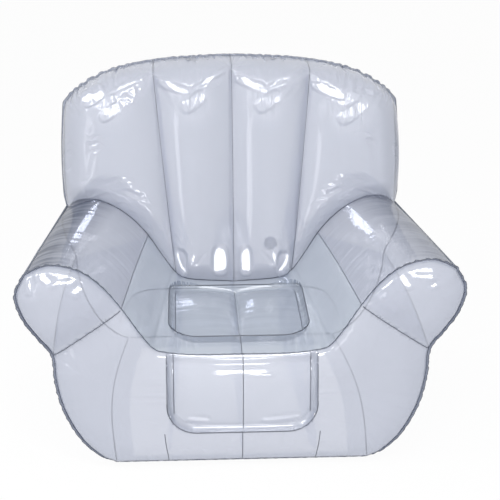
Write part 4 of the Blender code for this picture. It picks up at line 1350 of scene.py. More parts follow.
def sheet_mesh(
    name: str, grid: Array, outward: Sequence[float], kept: Array | None = None,
) -> Mesh:
    """A smooth sheet through a grid of points.

    Args:
        name: the mesh's name.
        grid: rows by columns by 3.
        outward: the way that the sheet faces on the whole.
        kept: which quads stay, or None for all.

    Returns:
        The mesh, with the grid's own point order.
    """
    rows, columns = grid.shape[:2]
    first = grid[1:, :-1] - grid[:-1, 1:]
    second = grid[1:, 1:] - grid[:-1, :-1]
    facing = np.cross(first, second).sum(axis=(0, 1)) @ np.asarray(outward, dtype=float)
    whole = np.ones((rows - 1, columns - 1), dtype=bool) if kept is None else kept
    mesh = bpy.data.meshes.new(name)
    points = [tuple(point) for point in grid.reshape(-1, 3)]
    mesh.from_pydata(points, [], sheet_faces(rows, columns, whole, facing < 0.0))
    mesh.shade_smooth()
    return mesh


def drop_loose_points(mesh: Mesh) -> None:
    """Removes points that no face uses."""
    with cage_of(mesh) as cage:
        loose = [point for point in cage.verts if not point.link_faces]
        bmesh.ops.delete(cage, geom=loose, context="VERTS")


def finer(grid: Array) -> Array:
    """The same sheet with a point halfway between each two of its points.

    Args:
        grid: the sheet's points, rows by columns.

    Returns:
        The finer grid.
    """
    for _ in range(2):
        count, width = grid.shape[:2]
        places = np.linspace(0.0, count - 1.0, 2 * count - 1)
        grid = smooth_points(grid.reshape(count, -1), places).reshape(len(places), width, -1)
        grid = grid.swapaxes(0, 1)
    return grid


def finer_pins(pins: Array) -> Array:
    """Held points on the finer sheet: between two held points all is held.

    Args:
        pins: which points are held.

    Returns:
        Which points of the finer sheet are held.
    """
    for _ in range(2):
        wide = np.empty((2 * pins.shape[0] - 1, pins.shape[1]), dtype=bool)
        wide[::2] = pins
        wide[1::2] = pins[:-1] & pins[1:]
        pins = wide.T
    return pins


def sheet_normals(grid: Array, outward: Sequence[float]) -> Array:
    """Unit normals of a grid of points, on the outward side."""
    normals = unit_rows(np.cross(np.gradient(grid, axis=1), np.gradient(grid, axis=0)))
    return normals if normals.sum(axis=(0, 1)) @ np.asarray(outward) > 0.0 else -normals


def distance_to(grid: Array, held: Array, run: Array) -> tuple[Array, Array]:
    """How far each point is from the held ones, and the run of the nearest of them.

    Args:
        grid: the sheet's points, rows by columns.
        held: which points are held.
        run: each point's run along its line.

    Returns:
        The distances, and the runs of the nearest held points.
    """
    if not held.any():
        return np.full(grid.shape[:2], np.inf), np.zeros(grid.shape[:2])
    runs = run[held]
    tree = point_tree(grid[held])
    found = [tree.find(point) for point in grid.reshape(-1, 3)]
    distance = np.array([match[2] for match in found]).reshape(grid.shape[:2])
    return distance, runs[[match[1] for match in found]].reshape(grid.shape[:2])


@dataclass(frozen=True)
class Gathers:
    """The small folds that run out from a weld, where the film is taken up."""

    waves: tuple[Triple, ...] = (
        (0.052, 0.0017, 0.4), (0.031, 0.0013, 2.1), (0.020, 0.0008, 4.0), (0.0135, 0.0005, 1.2),
    )
    reach: float = 1.25
    edge: float = 0.005
    sway: float = 0.9
    sway_length: float = 1.6
    second_fold: float = 0.4
    patch: tuple[float, float] = (0.23, 0.147)
    patch_turn: float = 40.0
    patch_share: float = 0.4

    def heights(self, distance: Array, run: Array) -> Array:
        """How far the film stands up.

        Args:
            distance: each point's distance to the weld.
            run: the place along the weld, in metres.

        Returns:
            Heights in metres, 0 on the weld and far from it.
        """
        total = np.zeros_like(distance)
        for length, height, phase in self.waves:
            sway = self.sway * np.sin(run / (self.sway_length * length) + 3 * phase)
            turn = 2 * math.pi * run / length + phase + sway
            fold = np.sin(turn) + self.second_fold * np.sin(2 * turn + phase)
            total += height * fold * np.exp(-distance / (self.reach * length))
        long, short = (
            np.sin(2 * math.pi * run / size + size * self.patch_turn) for size in self.patch
        )
        patches = 1.0 - self.patch_share + self.patch_share * long * short
        return total * patches * distance / (distance + self.edge)


@dataclass(frozen=True)
class Facet:
    """A taut spot where the film lies flat, turned so that a softbox shows in it."""

    place: Triple
    light: Triple
    half_length: float
    half_height: float
    slope: float = 0.0
    deepest: float = 0.006
    rim: float = 1.6

    def press(self, grid: Array) -> Array:
        """The sheet with an oval of it pressed flat.

        Args:
            grid: the sheet's points, rows by columns.

        Returns:
            The pressed sheet.
        """
        away = np.linalg.norm(grid - self.place, axis=-1)
        middle = grid[np.unravel_index(np.argmin(away), away.shape)]
        to_eye = np.asarray(Studio().eye()) - middle
        to_light = np.asarray(self.light) - middle
        normal = to_eye / np.linalg.norm(to_eye) + to_light / np.linalg.norm(to_light)
        normal /= np.linalg.norm(normal)
        offset = grid - middle
        turn = math.radians(self.slope)
        along = offset[..., 0] * math.cos(turn) + offset[..., 2] * math.sin(turn)
        aside = offset[..., 2] * math.cos(turn) - offset[..., 0] * math.sin(turn)
        oval = np.abs(along / self.half_length) ** 3 + np.abs(aside / self.half_height) ** 3
        hold = eased(clamped(self.rim - oval))
        depth = self.deepest * np.tanh((offset @ normal) / self.deepest)
        return grid - normal * (depth * hold)[..., None]


@dataclass(frozen=True)
class ValveSeat:
    """The flat round spot of the rear skin under the valve's flange, with its hole."""

    place: Triple = (0.120843, 0.435285, 0.289004)
    axis: Triple = (0.0, 0.998148, 0.060829)
    flat_radius: float = 0.022
    hole_radius: float = 0.0125
    fade: float = 0.060
    snap: float = 0.0024

    def press(self, grid: Array) -> tuple[Array, Array]:
        """Presses a sheet flat on the seat and cuts its hole.

        Args:
            grid: the sheet's points.

        Returns:
            The pressed sheet, and which of its quads stay.
        """
        axis = np.asarray(self.axis)
        offset = grid - self.place
        height = (offset @ axis)[..., None]
        level = offset - height * axis
        away = np.linalg.norm(level, axis=-1)
        hold = 1.0 - eased(clamped((away - self.flat_radius) / self.fade))
        near = np.abs(away - self.hole_radius) < self.snap
        pull = np.where(near, self.hole_radius / np.maximum(away, 1e-6) - 1.0, 0.0)
        away = np.where(near, self.hole_radius, away)
        pressed = grid - axis * height * hold[..., None] + level * pull[..., None]
        return pressed, quad_middles(away) > self.hole_radius


@dataclass
class FilmPanel:
    """One sheet of film that is held along its welds and blown out by the air."""

    name: str
    grid: Array
    pins: Array
    outward: Triple
    slack: Triple = (1.03, 1.01, 1.01)
    pressure: float = 8.0
    cap: float = 0.014
    bending: float = 0.08
    kept: Array | None = None
    fill: float = 1.0
    gathered: tuple[float, float] = (1.0, 0.5)
    crease_reach: float = 0.035
    crease_shares: tuple[float, float] = (0.18, 0.12)
    fine: bool = True
    flats: tuple[Facet, ...] = ()
    creased: tuple[tuple[float, float, float, float, float], ...] = ()
    calm_above: float = 10.0
    calm_fade: float = 0.05
    least_calm: float = 0.15
    # how much painted shade each point gets, 0 to 1, or None for none
    shaded: Array | None = None
    ease: Array | None = None
    mount: ValveSeat | None = None
    web_lines: dict[str, Array] = field(default_factory=dict)
    item: Item | None = field(default=None, init=False)

    def line(self, where: Array) -> Array:
        """The panel's present points along one of its web lines."""
        step = 2 if self.fine else 1
        return self.grid[step * where[:, 0], step * where[:, 1]]

    def make(self, material: Material) -> Item:
        """Makes the panel's object, smooth and not yet blown up.

        Args:
            material: its finish.

        Returns:
            The object.
        """
        mesh = sheet_mesh(self.name, self.grid, self.outward, self.kept)
        self.item = link_mesh(self.name, mesh, material)
        return self.item

    def hold(self) -> None:
        """Adds the air: cloth that is longer than its welds and pushed outwards."""
        item = self.item
        group = item.vertex_groups.new(name="held")
        group.add([int(index) for index in np.nonzero(self.pins.ravel() > 0.0)[0]], 1.0, "REPLACE")
        item.shape_key_add(name="Basis")
        cut = item.shape_key_add(name="cut_size")
        longer = self.grid.reshape(-1, 3) * np.asarray(self.slack)
        cut.data.foreach_set("co", longer.astype(np.float32).ravel())
        cut.value = 0.0
        cloth = item.modifiers.new("air", "CLOTH")
        for name, value in (
            ("quality", 5), ("mass", 0.1), ("tension_stiffness", 40.0),
            ("compression_stiffness", 40.0), ("shear_stiffness", 20.0),
            ("bending_stiffness", self.bending), ("use_pressure", True),
            ("uniform_pressure_force", self.pressure), ("rest_shape_key", cut),
            ("vertex_group_mass", group.name),
        ):
            setattr(cloth.settings, name, value)
        cloth.settings.effector_weights.gravity = 0.0
        cloth.collision_settings.use_collision = False
        cloth.collision_settings.use_self_collision = False

    def settle(self) -> None:
        """Keeps the blown-up shape, with each point's move held to the cap."""
        blown = self.item.evaluated_get(bpy.context.evaluated_depsgraph_get()).data
        points = np.empty(len(blown.vertices) * 3, dtype=np.float32)
        blown.vertices.foreach_get("co", points)
        start = self.grid.reshape(-1, 3)
        move = points.reshape(-1, 3) - start
        length = np.linalg.norm(move, axis=1, keepdims=True)
        held = self.cap * np.tanh(length / self.cap) / np.maximum(length, 1e-9)
        if self.ease is not None:
            held = held * self.ease.reshape(-1, 1)
        self.grid = (start + move * held).reshape(self.grid.shape)

    def gather(self) -> None:
        """Gives the sheet its small folds and flat spots, as a finer mesh."""
        held = self.pins > 0.0
        if self.fine:
            self.grid, held = finer(self.grid), finer_pins(held)
            if self.shaded is not None:
                self.shaded = finer(self.shaded[..., None])[..., 0]
            if self.kept is not None:
                self.kept = np.repeat(np.repeat(self.kept, 2, axis=0), 2, axis=1)
        rowed = held.copy()
        rowed[:, 1:-1] &= held[:, :-2] | held[:, 2:]
        columned = held.copy()
        columned[1:-1] &= held[:-2] | held[2:]
        normals = sheet_normals(self.grid, self.outward)
        creases = []
        rise = np.zeros(held.shape)
        for lines, axis, strength, share in zip(
            (rowed, columned), (1, 0), self.gathered, self.crease_shares,
        ):
            steps = np.linalg.norm(np.diff(self.grid, axis=axis), axis=-1)
            run = np.cumsum(np.insert(steps, 0, 0.0, axis=axis), axis=axis)
            distance, place = distance_to(self.grid, lines, run)
            creases.append(share * clamped(1.0 - distance / self.crease_reach) ** 2)
            rise += strength * Gathers().heights(np.minimum(distance, 10.0), place)
        calm = np.clip(
            1.0 - (self.grid[..., 2] - self.calm_above) / self.calm_fade, self.least_calm, 1.0,
        )
        creases = [crease * calm for crease in creases]
        self.grid = self.grid + normals * (rise * calm * ~held)[..., None]
        for spot in self.flats:
            self.grid = np.where(held[..., None], self.grid, spot.press(self.grid))
        for x, y, z, reach, strength in self.creased:
            away = np.linalg.norm(self.grid - (x, y, z), axis=-1)
            creases[0] = creases[0] + strength * np.exp(-((away / reach) ** 2))
        if self.mount is not None:
            self.grid, self.kept = self.mount.press(self.grid)
        self.remesh(creases)

    def remesh(self, creases: Sequence[Array]) -> None:
        """Swaps the object's mesh for the finished sheet, with its crease maps.

        Args:
            creases: how creased each point is, one map for each way.
        """
        old = self.item.data
        material = old.materials[0]
        mesh = sheet_mesh(self.name, self.grid, self.outward, self.kept)
        maps = [*creases] if self.shaded is None else [*creases, self.shaded]
        for name, values in zip((UPRIGHT_CREASES, LEVEL_CREASES, SHADED), maps):
            mark_points(mesh, name, values)
        mesh.materials.append(material)
        self.item.modifiers.clear()
        self.item.shape_key_clear()
        self.item.vertex_groups.clear()
        self.item.data = mesh
        bpy.data.meshes.remove(old)
        mesh.name = self.name

    def close(self, body: str, nodes: Sequence[str], slot: str) -> None:
        """Hands the finished panel to the frame.

        Args:
            body: the frame's body that it rides on.
            nodes: the CAD pieces that it takes the place of.
            slot: the finish's name; not used.
        """
        drop_loose_points(self.item.data)
        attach(self.item, body)
        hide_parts(*nodes)
        LOG.info("%s: %d faces", self.name, len(self.item.data.polygons))


@dataclass
class AirPump:
    """Blows all panels up together, frame by frame."""

    frames: int = 14

    def blow(self, panels: Sequence[FilmPanel]) -> None:
        """Runs the cloth on each panel and keeps the result.

        Args:
            panels: the panels that have loose points.
        """
        scene = bpy.context.scene
        for panel in panels:
            panel.hold()
            panel.item.modifiers["air"].point_cache.frame_end = self.frames
        for step in range(1, self.frames + 1):
            scene.frame_set(step)
        for panel in panels:
            panel.settle()
            panel.gather()
        scene.frame_set(1)


# ---- sub-assemblies


@dataclass
class SeatAndArms:
    """The seat skin with its sunk pocket, and the two round arms."""

    skin: Skin
    pocket: RoundedFrame
    pocket_depth: float = 0.026
    wall_run: float = 0.016
    lobe_rise: float = 0.026
    lobe_skew: float = 1.8
    lobe_squareness: float = 0.45
    # painted shade over the pocket's floor; its side walls get full painted shade
    floor_shade: float = 0.35
    tray_step: float = 0.0042
    arm_length: float = 0.64
    # Painted shade over the arms' outer tops: where it starts and how far it fades in, in seam
    # points, and its share on the right arm.
    shade_start: float = 7.5
    shade_fade: float = 2.0
    right_shade: float = 0.6

    def seat(self) -> FilmPanel:
        """The seat from the front seam to the backrest, round the pocket.

        Returns:
            The panel.
        """
        skin = self.skin
        marks = (0.0, WEB_POINT, ARM_WEB_POINT)
        places = skin.even_columns((skin.front_seam, skin.junction), marks, STEP)
        lengths = np.linspace(0.0, 1.0, math.ceil(skin.seat_depth / STEP) + 1)
        grid = both_sides(skin.skin_grid(places, lengths))
        x, y = self.pocket.snap(grid[..., 0], grid[..., 1], SNAP_SHARE * STEP)
        moved = np.stack([x, y], axis=-1)
        grid[..., 2] += skin.seat_skin_z(moved) - skin.seat_skin_z(grid[..., :2])
        grid[..., :2] = moved
        gap = self.pocket.distance(x, y)
        pins = edge_pins(grid.shape[:2])
        pins[gap < ON_LINE_SHARE * STEP] = 1.0
        return FilmPanel(
            "seat_skin", grid, pins, (0, 0, 1), slack=(1.02, 1.02, 1.02),
            kept=quad_middles(gap) > 0.0, cap=0.006, pressure=5.0, gathered=(0.08, 0.12),
            crease_reach=0.020, crease_shares=(0.04, 0.04),
            ease=soft_edge(gap, EASE_STEPS * STEP), web_lines={
                "seat_front_web_line": middle_line((gap > 0.0) & (y < self.pocket.low)),
                "left_arm_inner_line": column_line(range(len(lengths)), 0),
                "right_arm_inner_line": column_line(range(len(lengths)), grid.shape[1] - 1),
            },
        )

    def tray(self) -> FilmPanel:
        """The sunk pocket: a steep wall and a floor that puffs up in two lobes.

        Returns:
            The panel.
        """
        pocket = self.pocket
        xs = pocket.columns(self.tray_step)
        rows = math.ceil((pocket.high - pocket.low) / self.tray_step)
        x, y = np.meshgrid(xs, np.linspace(pocket.low, pocket.high, rows + 1))
        x, y = pocket.snap(x, y, SNAP_SHARE * self.tray_step)
        gap = pocket.distance(x, y)
        inside = np.maximum(-gap, 0.0)
        across = clamped(0.5 + 0.5 * x / pocket.half_width)
        skewed = clamped((y - pocket.low) / (pocket.high - pocket.low)) ** self.lobe_skew
        pair = np.abs(np.sin(2 * math.pi * across)) ** self.lobe_squareness
        lobes = pair * clamped(4 * skewed * (1 - skewed)) ** self.lobe_squareness
        z = self.skin.seat_skin_z(np.stack([x, y], axis=-1))
        z = z - self.pocket_depth * round_edge(inside, self.wall_run) + self.lobe_rise * lobes
        pins = (inside < self.wall_run).astype(float)
        pins[:, np.abs(xs) < 0.5 * self.tray_step] = 1.0
        # painted shade: full on the side walls, floor_shade over the rest of the pocket
        shade = side_walls(x, inside, pocket.half_width, self.wall_run)
        return FilmPanel(
            "seat_pocket", np.stack([x, y, z], axis=-1), pins, (0, 0, 1), slack=(1.03, 1.03, 1.03),
            kept=quad_middles(gap) < 0.0, cap=0.006, pressure=5.0, fine=False, gathered=(0.3, 0.3),
            shaded=np.maximum(shade, self.floor_shade), web_lines={
                "seat_pocket_web_line": middle_line(gap < 0.0),
                **fold_lines("seat_pocket", xs, inside, self.wall_run),
            },
        )

    def arm(self, side: Side) -> FilmPanel:
        """An arm's skin, from the seat web over the top to the outer seam.

        Args:
            side: left or right.

        Returns:
            The panel.
        """
        skin = self.skin
        marks = (ARM_WEB_POINT, LAST_POINT)
        places = skin.even_columns((skin.front_seam, skin.junction), marks, STEP)
        lengths = np.linspace(0.0, 1.0, math.ceil(self.arm_length / STEP) + 1)
        grid = on_side(skin.skin_grid(places, lengths), side)
        # painted shade over the arm's outer top, weaker on the right arm
        outer = clamped((places - self.shade_start) / self.shade_fade)
        outer = outer * (1.0 if side is Side.LEFT else self.right_shade)
        return FilmPanel(
            side.word + "_arm_skin", grid, edge_pins(grid.shape[:2]), (side.value, 0, 1),
            slack=(1.03, 1.002, 1.03), cap=0.010, pressure=9.0, bending=0.4,
            gathered=(0.6, 0.4), crease_shares=(0.30, 0.05),
            shaded=np.repeat(outer[None], len(lengths), axis=0),
        )


def facets(light: Triple, *rows: tuple[float, ...], deepest: float = 0.006) -> tuple[Facet, ...]:
    """Facets for one lamp, each from its x, y, z, half length, half height and slope."""
    return tuple(Facet(row[:3], light, *row[3:], deepest=deepest) for row in rows)


ARM_FRONT_FACETS = facets(
    FRONT_LIGHT,
    (-0.455, -0.43, 0.492, 0.022, 0.011, -20.0), (-0.487, -0.43, 0.476, 0.009, 0.020, -15.0),
    (-0.415, -0.43, 0.483, 0.032, 0.006, 12.0), (-0.388, -0.43, 0.464, 0.016, 0.013, 40.0),
    (0.385, -0.43, 0.474, 0.013, 0.018, 30.0), (0.420, -0.43, 0.484, 0.032, 0.006, -8.0),
    (0.447, -0.43, 0.466, 0.012, 0.010, 30.0),
)
# Creased spots: the place, the reach and the strength.
ARM_FRONT_CREASES = ((-0.42, -0.43, 0.470, 0.045, 0.5), (0.40, -0.43, 0.470, 0.045, 0.5))
FRONT_POCKET_FACETS = facets(LOW_LIGHT, (0.013, -0.42, 0.240, 0.062, 0.003, -1.0)) + facets(
    FRONT_LIGHT,
    (-0.105, -0.43, 0.126, 0.026, 0.008, 0.0), (0.095, -0.43, 0.127, 0.044, 0.008, 7.0),
)


@dataclass
class FrontAndSides:
    """The front panel with its sunk pocket, and the two outer side panels."""

    skin: Skin
    pocket: RoundedFrame
    pocket_depth: float = 0.026
    wall_run: float = 0.016
    lobe_rise: float = 0.014
    lobe_squareness: float = 0.5
    # Painted shade on the pocket's bottom wall and over its floor; its side walls get full painted
    # shade.
    foot_shade: float = 0.6
    floor_shade: float = 0.15
    top_fade: float = 0.030
    side_length: float = 0.72
    tray_step: float = 0.0042

    def side_places(self, step: float) -> Array:
        """Places down the side edges, with the pinch on a grid line.

        Args:
            step: the distance wanted between two of them.

        Returns:
            The seam places.
        """
        skin = self.skin
        marks = (0.0, PINCH_POINT, SIDE_LAST_POINT)
        return skin.even_columns((skin.front_side, skin.rear_side), marks, step)

    def front(self) -> FilmPanel:
        """The front panel, below the W-shaped seam and round the pocket.

        Returns:
            The panel.
        """
        skin = self.skin

        def foot(places: Array) -> Array:
            """The front edge of the base."""
            return skin.base_end(places, True)

        places = skin.even_columns((skin.front_seam, foot), BACK_MARKS, STEP)
        downs = self.side_places(STEP)
        rows = downs / SIDE_LAST_POINT
        middle = np.array([[0.0, skin.front_y, skin.seat_z], [0.0, skin.front_y, skin.base_seam_z]])
        middle = middle[0] + (middle[1] - middle[0]) * rows[:, None]
        grid = edge_patch(
            skin.front_seam(places), foot(places), middle, skin.front_side(downs),
            places / LAST_POINT, rows,
        )
        x, z = self.pocket.snap(grid[..., 0], grid[..., 2], SNAP_SHARE * STEP)
        inner = grid[1:-1, :-1]
        inner[..., 0], inner[..., 2] = x[1:-1, :-1], z[1:-1, :-1]
        inner[..., 1] = skin.front_panel_y(grid[..., [0, 2]])[1:-1, :-1]
        web = path_distance(grid[..., [0, 2]], skin.front_web_path())
        grid = both_sides(grid)
        gap = self.pocket.distance(grid[..., 0], grid[..., 2])
        pins = edge_pins(grid.shape[:2])
        pins[gap < ON_LINE_SHARE * STEP] = 1.0
        pins[mirrored(web) < 0.5 * STEP] = 1.0
        lines = {}
        for word, column in web_columns(places).items():
            below = np.nonzero(grid[:, column, 2] < self.pocket.low)[0]
            lines[f"front_web_line_{word}"] = column_line(below, column)
            pins[below, column] = 1.0
        return FilmPanel(
            "front_skin", grid, pins, (0, -1, 0), slack=(1.03, 1.0, 1.03),
            kept=quad_middles(gap) > 0.0,
            ease=soft_edge(gap, EASE_STEPS * STEP), cap=0.012, pressure=8.0,
            web_lines=lines, gathered=(0.5, 0.25),
            flats=ARM_FRONT_FACETS, creased=ARM_FRONT_CREASES,
        )

    def tray(self) -> FilmPanel:
        """The front pocket, open at the front seam.

        Returns:
            The panel.
        """
        skin, pocket = self.skin, self.pocket
        xs = pocket.columns(self.tray_step)
        seam = skin.front_seam(np.linspace(0.0, ARM_WEB_POINT, DENSE_STEPS))
        tops = np.interp(np.abs(xs), seam[:, 0], seam[:, 2])
        rows = math.ceil((skin.seat_z - pocket.low) / self.tray_step)
        shares = np.linspace(0.0, 1.0, rows + 1)[:, None]
        x = np.repeat(xs[None], rows + 1, axis=0)
        z = pocket.low + (tops[None] - pocket.low) * shares
        snapped_x, snapped_z = pocket.snap(x, z, SNAP_SHARE * self.tray_step)
        x[:-1], z[:-1] = snapped_x[:-1], snapped_z[:-1]
        gap = pocket.distance(x, z)
        inside = np.maximum(-gap, 0.0)
        lobes = clamped(4 * shares * (1 - shares)) ** self.lobe_squareness
        lobes = lobes * clamped(1.0 - (x / pocket.half_width) ** 2) ** self.lobe_squareness
        depth = self.pocket_depth * round_edge(inside, self.wall_run) - self.lobe_rise * lobes
        depth = depth * soft_edge(tops[None] - z, self.top_fade)
        y = skin.front_panel_y(np.stack([np.abs(x), z], axis=-1)) + depth
        y[-1] = skin.front_y
        in_wall = inside < self.wall_run
        pins = in_wall.astype(float)
        pins[-1] = 1.0
        # painted shade: full on the side walls, foot_shade on the bottom wall, floor_shade over the
        # rest
        at_foot = in_wall & (z < pocket.low + pocket.corner)
        return FilmPanel(
            "front_pocket", np.stack([x, y, z], axis=-1), pins, (0, -1, 0),
            slack=(1.03, 1.03, 1.03), kept=quad_middles(gap) < 0.0, cap=0.006, pressure=5.0,
            fine=False, gathered=(0.0, 0.05), crease_shares=(0.06, 0.01),
            shaded=np.maximum(
                side_walls(x, inside, pocket.half_width, self.wall_run),
                np.where(at_foot, self.foot_shade, self.floor_shade),
            ),
            flats=FRONT_POCKET_FACETS, web_lines={
                "front_pocket_web_line": middle_line(gap < 0.0),
                **fold_lines("front_pocket", xs, inside, self.wall_run),
            },
        )

    def side(self, side: Side) -> FilmPanel:
        """An outer side panel, drawn in where the arm's web is welded.

        Args:
            side: left or right.

        Returns:
            The panel.
        """
        skin = self.skin
        downs = self.side_places(COARSE_STEP)
        lengths = np.linspace(0.0, 1.0, math.ceil(self.side_length / COARSE_STEP) + 1)
        grid = edge_patch(
            skin.arm_seam(lengths), skin.base_side(lengths), skin.front_side(downs),
            skin.rear_side(downs), lengths, downs / SIDE_LAST_POINT,
        )
        upper = clamped(downs / PINCH_POINT)
        lower = clamped((downs - PINCH_POINT) / (SIDE_LAST_POINT - PINCH_POINT))
        swell = np.sin(math.pi * upper) + np.sin(math.pi * lower)
        grid[..., 0] += skin.side_bulge * swell[:, None] * np.sin(math.pi * lengths)[None, :]
        pins = edge_pins(grid.shape[:2])
        pinch = int(np.argmin(np.abs(downs - PINCH_POINT)))
        pins[pinch] = 1.0
        return FilmPanel(
            side.word + "_side_skin", on_side(grid, side), pins, (side.value, 0, 0),
            slack=(1.03, 1.005, 1.03), cap=0.010, pressure=8.0, web_lines={
                side.word + "_side_web_line": column_line(range(len(lengths)), pinch)[:, ::-1],
            },
        )


SHOULDER_FACETS = facets(
    KEY_LIGHT, (-0.371, 0.19, 0.786, 0.034, 0.017, 28.0), deepest=0.009,
) + facets(
    TOP_LIGHT,
    (-0.158, 0.18, 0.816, 0.042, 0.012, -16.0), (0.050, 0.18, 0.820, 0.042, 0.012, -16.0),
    (0.258, 0.18, 0.800, 0.045, 0.012, -18.0),
) + facets(
    TOP_LIGHT,
    (-0.278, 0.195, 0.816, 0.055, 0.006, 23.0), (-0.059, 0.190, 0.834, 0.046, 0.006, 25.0),
    (0.142, 0.190, 0.829, 0.046, 0.006, 22.0), (0.360, 0.200, 0.778, 0.040, 0.006, -10.0),
    deepest=0.004,
)
STROKE_FACETS = facets(
    FRONT_LIGHT,
    (-0.323, 0.14, 0.757, 0.032, 0.015, 35.0), (-0.100, 0.14, 0.780, 0.038, 0.018, 35.0),
    (0.094, 0.14, 0.780, 0.038, 0.018, 35.0), (0.317, 0.14, 0.748, 0.040, 0.018, 35.0),
)
FOOT_FACETS = facets(
    LOW_LIGHT,
    (-0.128, 0.10, 0.350, 0.018, 0.042), (-0.042, 0.10, 0.350, 0.022, 0.042),
    (0.036, 0.10, 0.350, 0.017, 0.042), (0.118, 0.10, 0.350, 0.018, 0.042), deepest=0.024,
)


@dataclass
class Backrest:
    """The backrest's front and the rear panels, tied by upright webs."""

    skin: Skin
    upper_length: float = 0.30
    lower_length: float = 0.47
    base_length: float = 0.80
    foot_rows: int = 15
    stroke_reach: float = 0.045
    stroke_creases: tuple[float, ...] = (1.4, 3.0, 3.0, 3.0)

    def places(self, step: float) -> Array:
        """Seam places across the backrest, with the webs on grid lines."""
        return self.skin.even_columns((self.skin.crown, self.skin.junction), BACK_MARKS, step)

    def front(self) -> FilmPanel:
        """The backrest's front, in four upright tubes.

        Returns:
            The panel.
        """
        skin, places = self.skin, self.places(STEP)
        top, bottom = skin.crown(places), skin.junction(places)
        rows = self.even_rows(float(top[0, 2] - bottom[0, 2]))
        middle = top[0] + (bottom[0] - top[0]) * rows[:, None]
        grid = edge_patch(top, bottom, middle, skin.back_side(rows), places / LAST_POINT, rows)
        inner = skin.backrest_y(grid[..., [0, 2]], places)
        grid[1:-1, :-1, 1] = inner[1:-1, :-1]
        return FilmPanel(
            "backrest_skin", both_sides(grid), self.web_pins(places, len(rows)), (0, -1, 0),
            slack=(1.03, 1.0, 1.004), cap=0.006, pressure=8.0, gathered=(0.4, 0.03),
            calm_above=0.57, crease_shares=(0.14, 0.01),
            web_lines=self.web_lines("backrest", places, range(len(rows))),
            flats=SHOULDER_FACETS + STROKE_FACETS + FOOT_FACETS,
            creased=tuple(
                (*spot.place, self.stroke_reach, strength)
                for spot, strength in zip(STROKE_FACETS, self.stroke_creases)
            ),
        )

    def web_lines(self, name: str, places: Array, rows: Sequence[int]) -> dict[str, Array]:
        """The grid points of each web line over some rows.

        Args:
            name: the panel's name in the lines' names.
            places: the seam places of the right half's columns.
            rows: the grid's rows.

        Returns:
            The lines by their names.
        """
        return {
            f"{name}_web_line_{word}": column_line(rows, column)
            for word, column in web_columns(places).items()
        }

    def even_rows(self, height: float) -> Array:
        """Row shares that lie about one step apart along a tube's crest.

        Args:
            height: the backrest's height in the middle.

        Returns:
            The row shares.
        """
        skin = self.skin
        drop = np.linspace(0.0, height, 40 * DENSE_STEPS)
        forward = full_edge(drop, skin.shoulder_reach, skin.shoulder_power)
        reach = skin.outline_set_back + skin.belly_bulge + skin.tube_bulge
        along = run_lengths(np.stack([drop, forward * reach], axis=1))
        count = math.ceil(along[-1] / STEP)
        return np.interp(np.linspace(0.0, along[-1], count + 1), along, drop) / height

    def web_pins(self, places: Array, rows: int) -> Array:
        """The panel's edges and its web lines, as the points that are held.

        Args:
            places: the seam places of the right half's columns.
            rows: how many rows the grid has.

        Returns:
            1 where held, 0 elsewhere.
        """
        pins = edge_pins((rows, 2 * len(places) - 1))
        pins[:, list(web_columns(places).values())] = 1.0
        return pins

    def rear(self) -> FilmPanel:
        """The back of the chair above the arched seam.

        Returns:
            The panel.
        """
        skin, places = self.skin, self.places(COARSE_STEP)
        upper = skin.back_side(np.linspace(0.0, 1.0, math.ceil(self.upper_length / COARSE_STEP)))
        steps = math.ceil(self.lower_length / COARSE_STEP)
        lower = skin.rear_side(np.linspace(0.0, REAR_CORNER_POINT, steps))
        edge = np.vstack([upper, lower[1:]])
        rows = (edge[0, 2] - edge[:, 2]) / (edge[0, 2] - edge[-1, 2])
        top, bottom = skin.crown(places), skin.arch(places)
        middle = top[0] + (bottom[0] - top[0]) * rows[:, None]
        grid = edge_patch(top, bottom, middle, edge, places / LAST_POINT, rows)
        inner = skin.rear_y(grid[..., [0, 2]], places)
        grid[1:-1, :-1, 1] = inner[1:-1, :-1]
        pins = self.web_pins(places, len(rows))
        grid = both_sides(grid)
        inner_points = grid[..., 2] < skin.web_foot_z
        inner_points[-1] = False
        inner_points[:, [0, -1]] = False
        pins[inner_points] = 0.0
        above = np.nonzero(grid[:, grid.shape[1] // 2, 2] > skin.web_foot_z)[0]
        return FilmPanel(
            "rear_skin", grid, pins, (0, 1, 0), slack=(1.04, 1.0, 1.01), cap=0.012, pressure=8.0,
            mount=ValveSeat(), web_lines=self.web_lines("rear", places, above),
        )

    def rear_foot(self) -> FilmPanel:
        """The low strip between the arched seam and the floor.

        Returns:
            The panel.
        """
        skin, places = self.skin, self.places(COARSE_STEP)
        bottom = skin.arch(places)
        foot = skin.base_end(places, False)
        shares = np.linspace(0.0, 1.0, self.foot_rows)
        strip = bottom[None] + (foot - bottom)[None] * shares[:, None, None]
        strip[1:-1, :, 1] = skin.rear_y(strip[..., [0, 2]], places)[1:-1]
        pins = edge_pins((len(shares), 2 * len(places) - 1))
        return FilmPanel(
            "rear_foot_skin", both_sides(strip), pins, (0, 1, 0), slack=(1.02, 1.0, 1.03),
            cap=0.008, pressure=6.0,
        )

    def base(self) -> FilmPanel:
        """The underside, flat on the floor inside a rounded edge.

        Returns:
            The panel.
        """
        skin, places = self.skin, self.places(COARSE_STEP)
        lengths = np.linspace(0.0, 1.0, math.ceil(self.base_length / COARSE_STEP) + 1)
        front, rear = skin.base_end(places, True), skin.base_end(places, False)
        middle = front[0] + (rear[0] - front[0]) * lengths[:, None]
        side = skin.base_side(lengths)
        grid = edge_patch(front, rear, middle, side, places / LAST_POINT, lengths)
        edge = np.vstack([front, side[1:], rear[::-1][1:]])[:, :2]
        inward = path_distance(grid[..., :2], edge)
        grid[..., 2] = skin.base_seam_z * (1.0 - round_edge(inward, skin.base_round))
        grid = both_sides(grid)
        return FilmPanel("base_skin", grid, np.ones(grid.shape[:2]), (0, 0, -1), fine=False)


# ---- welds


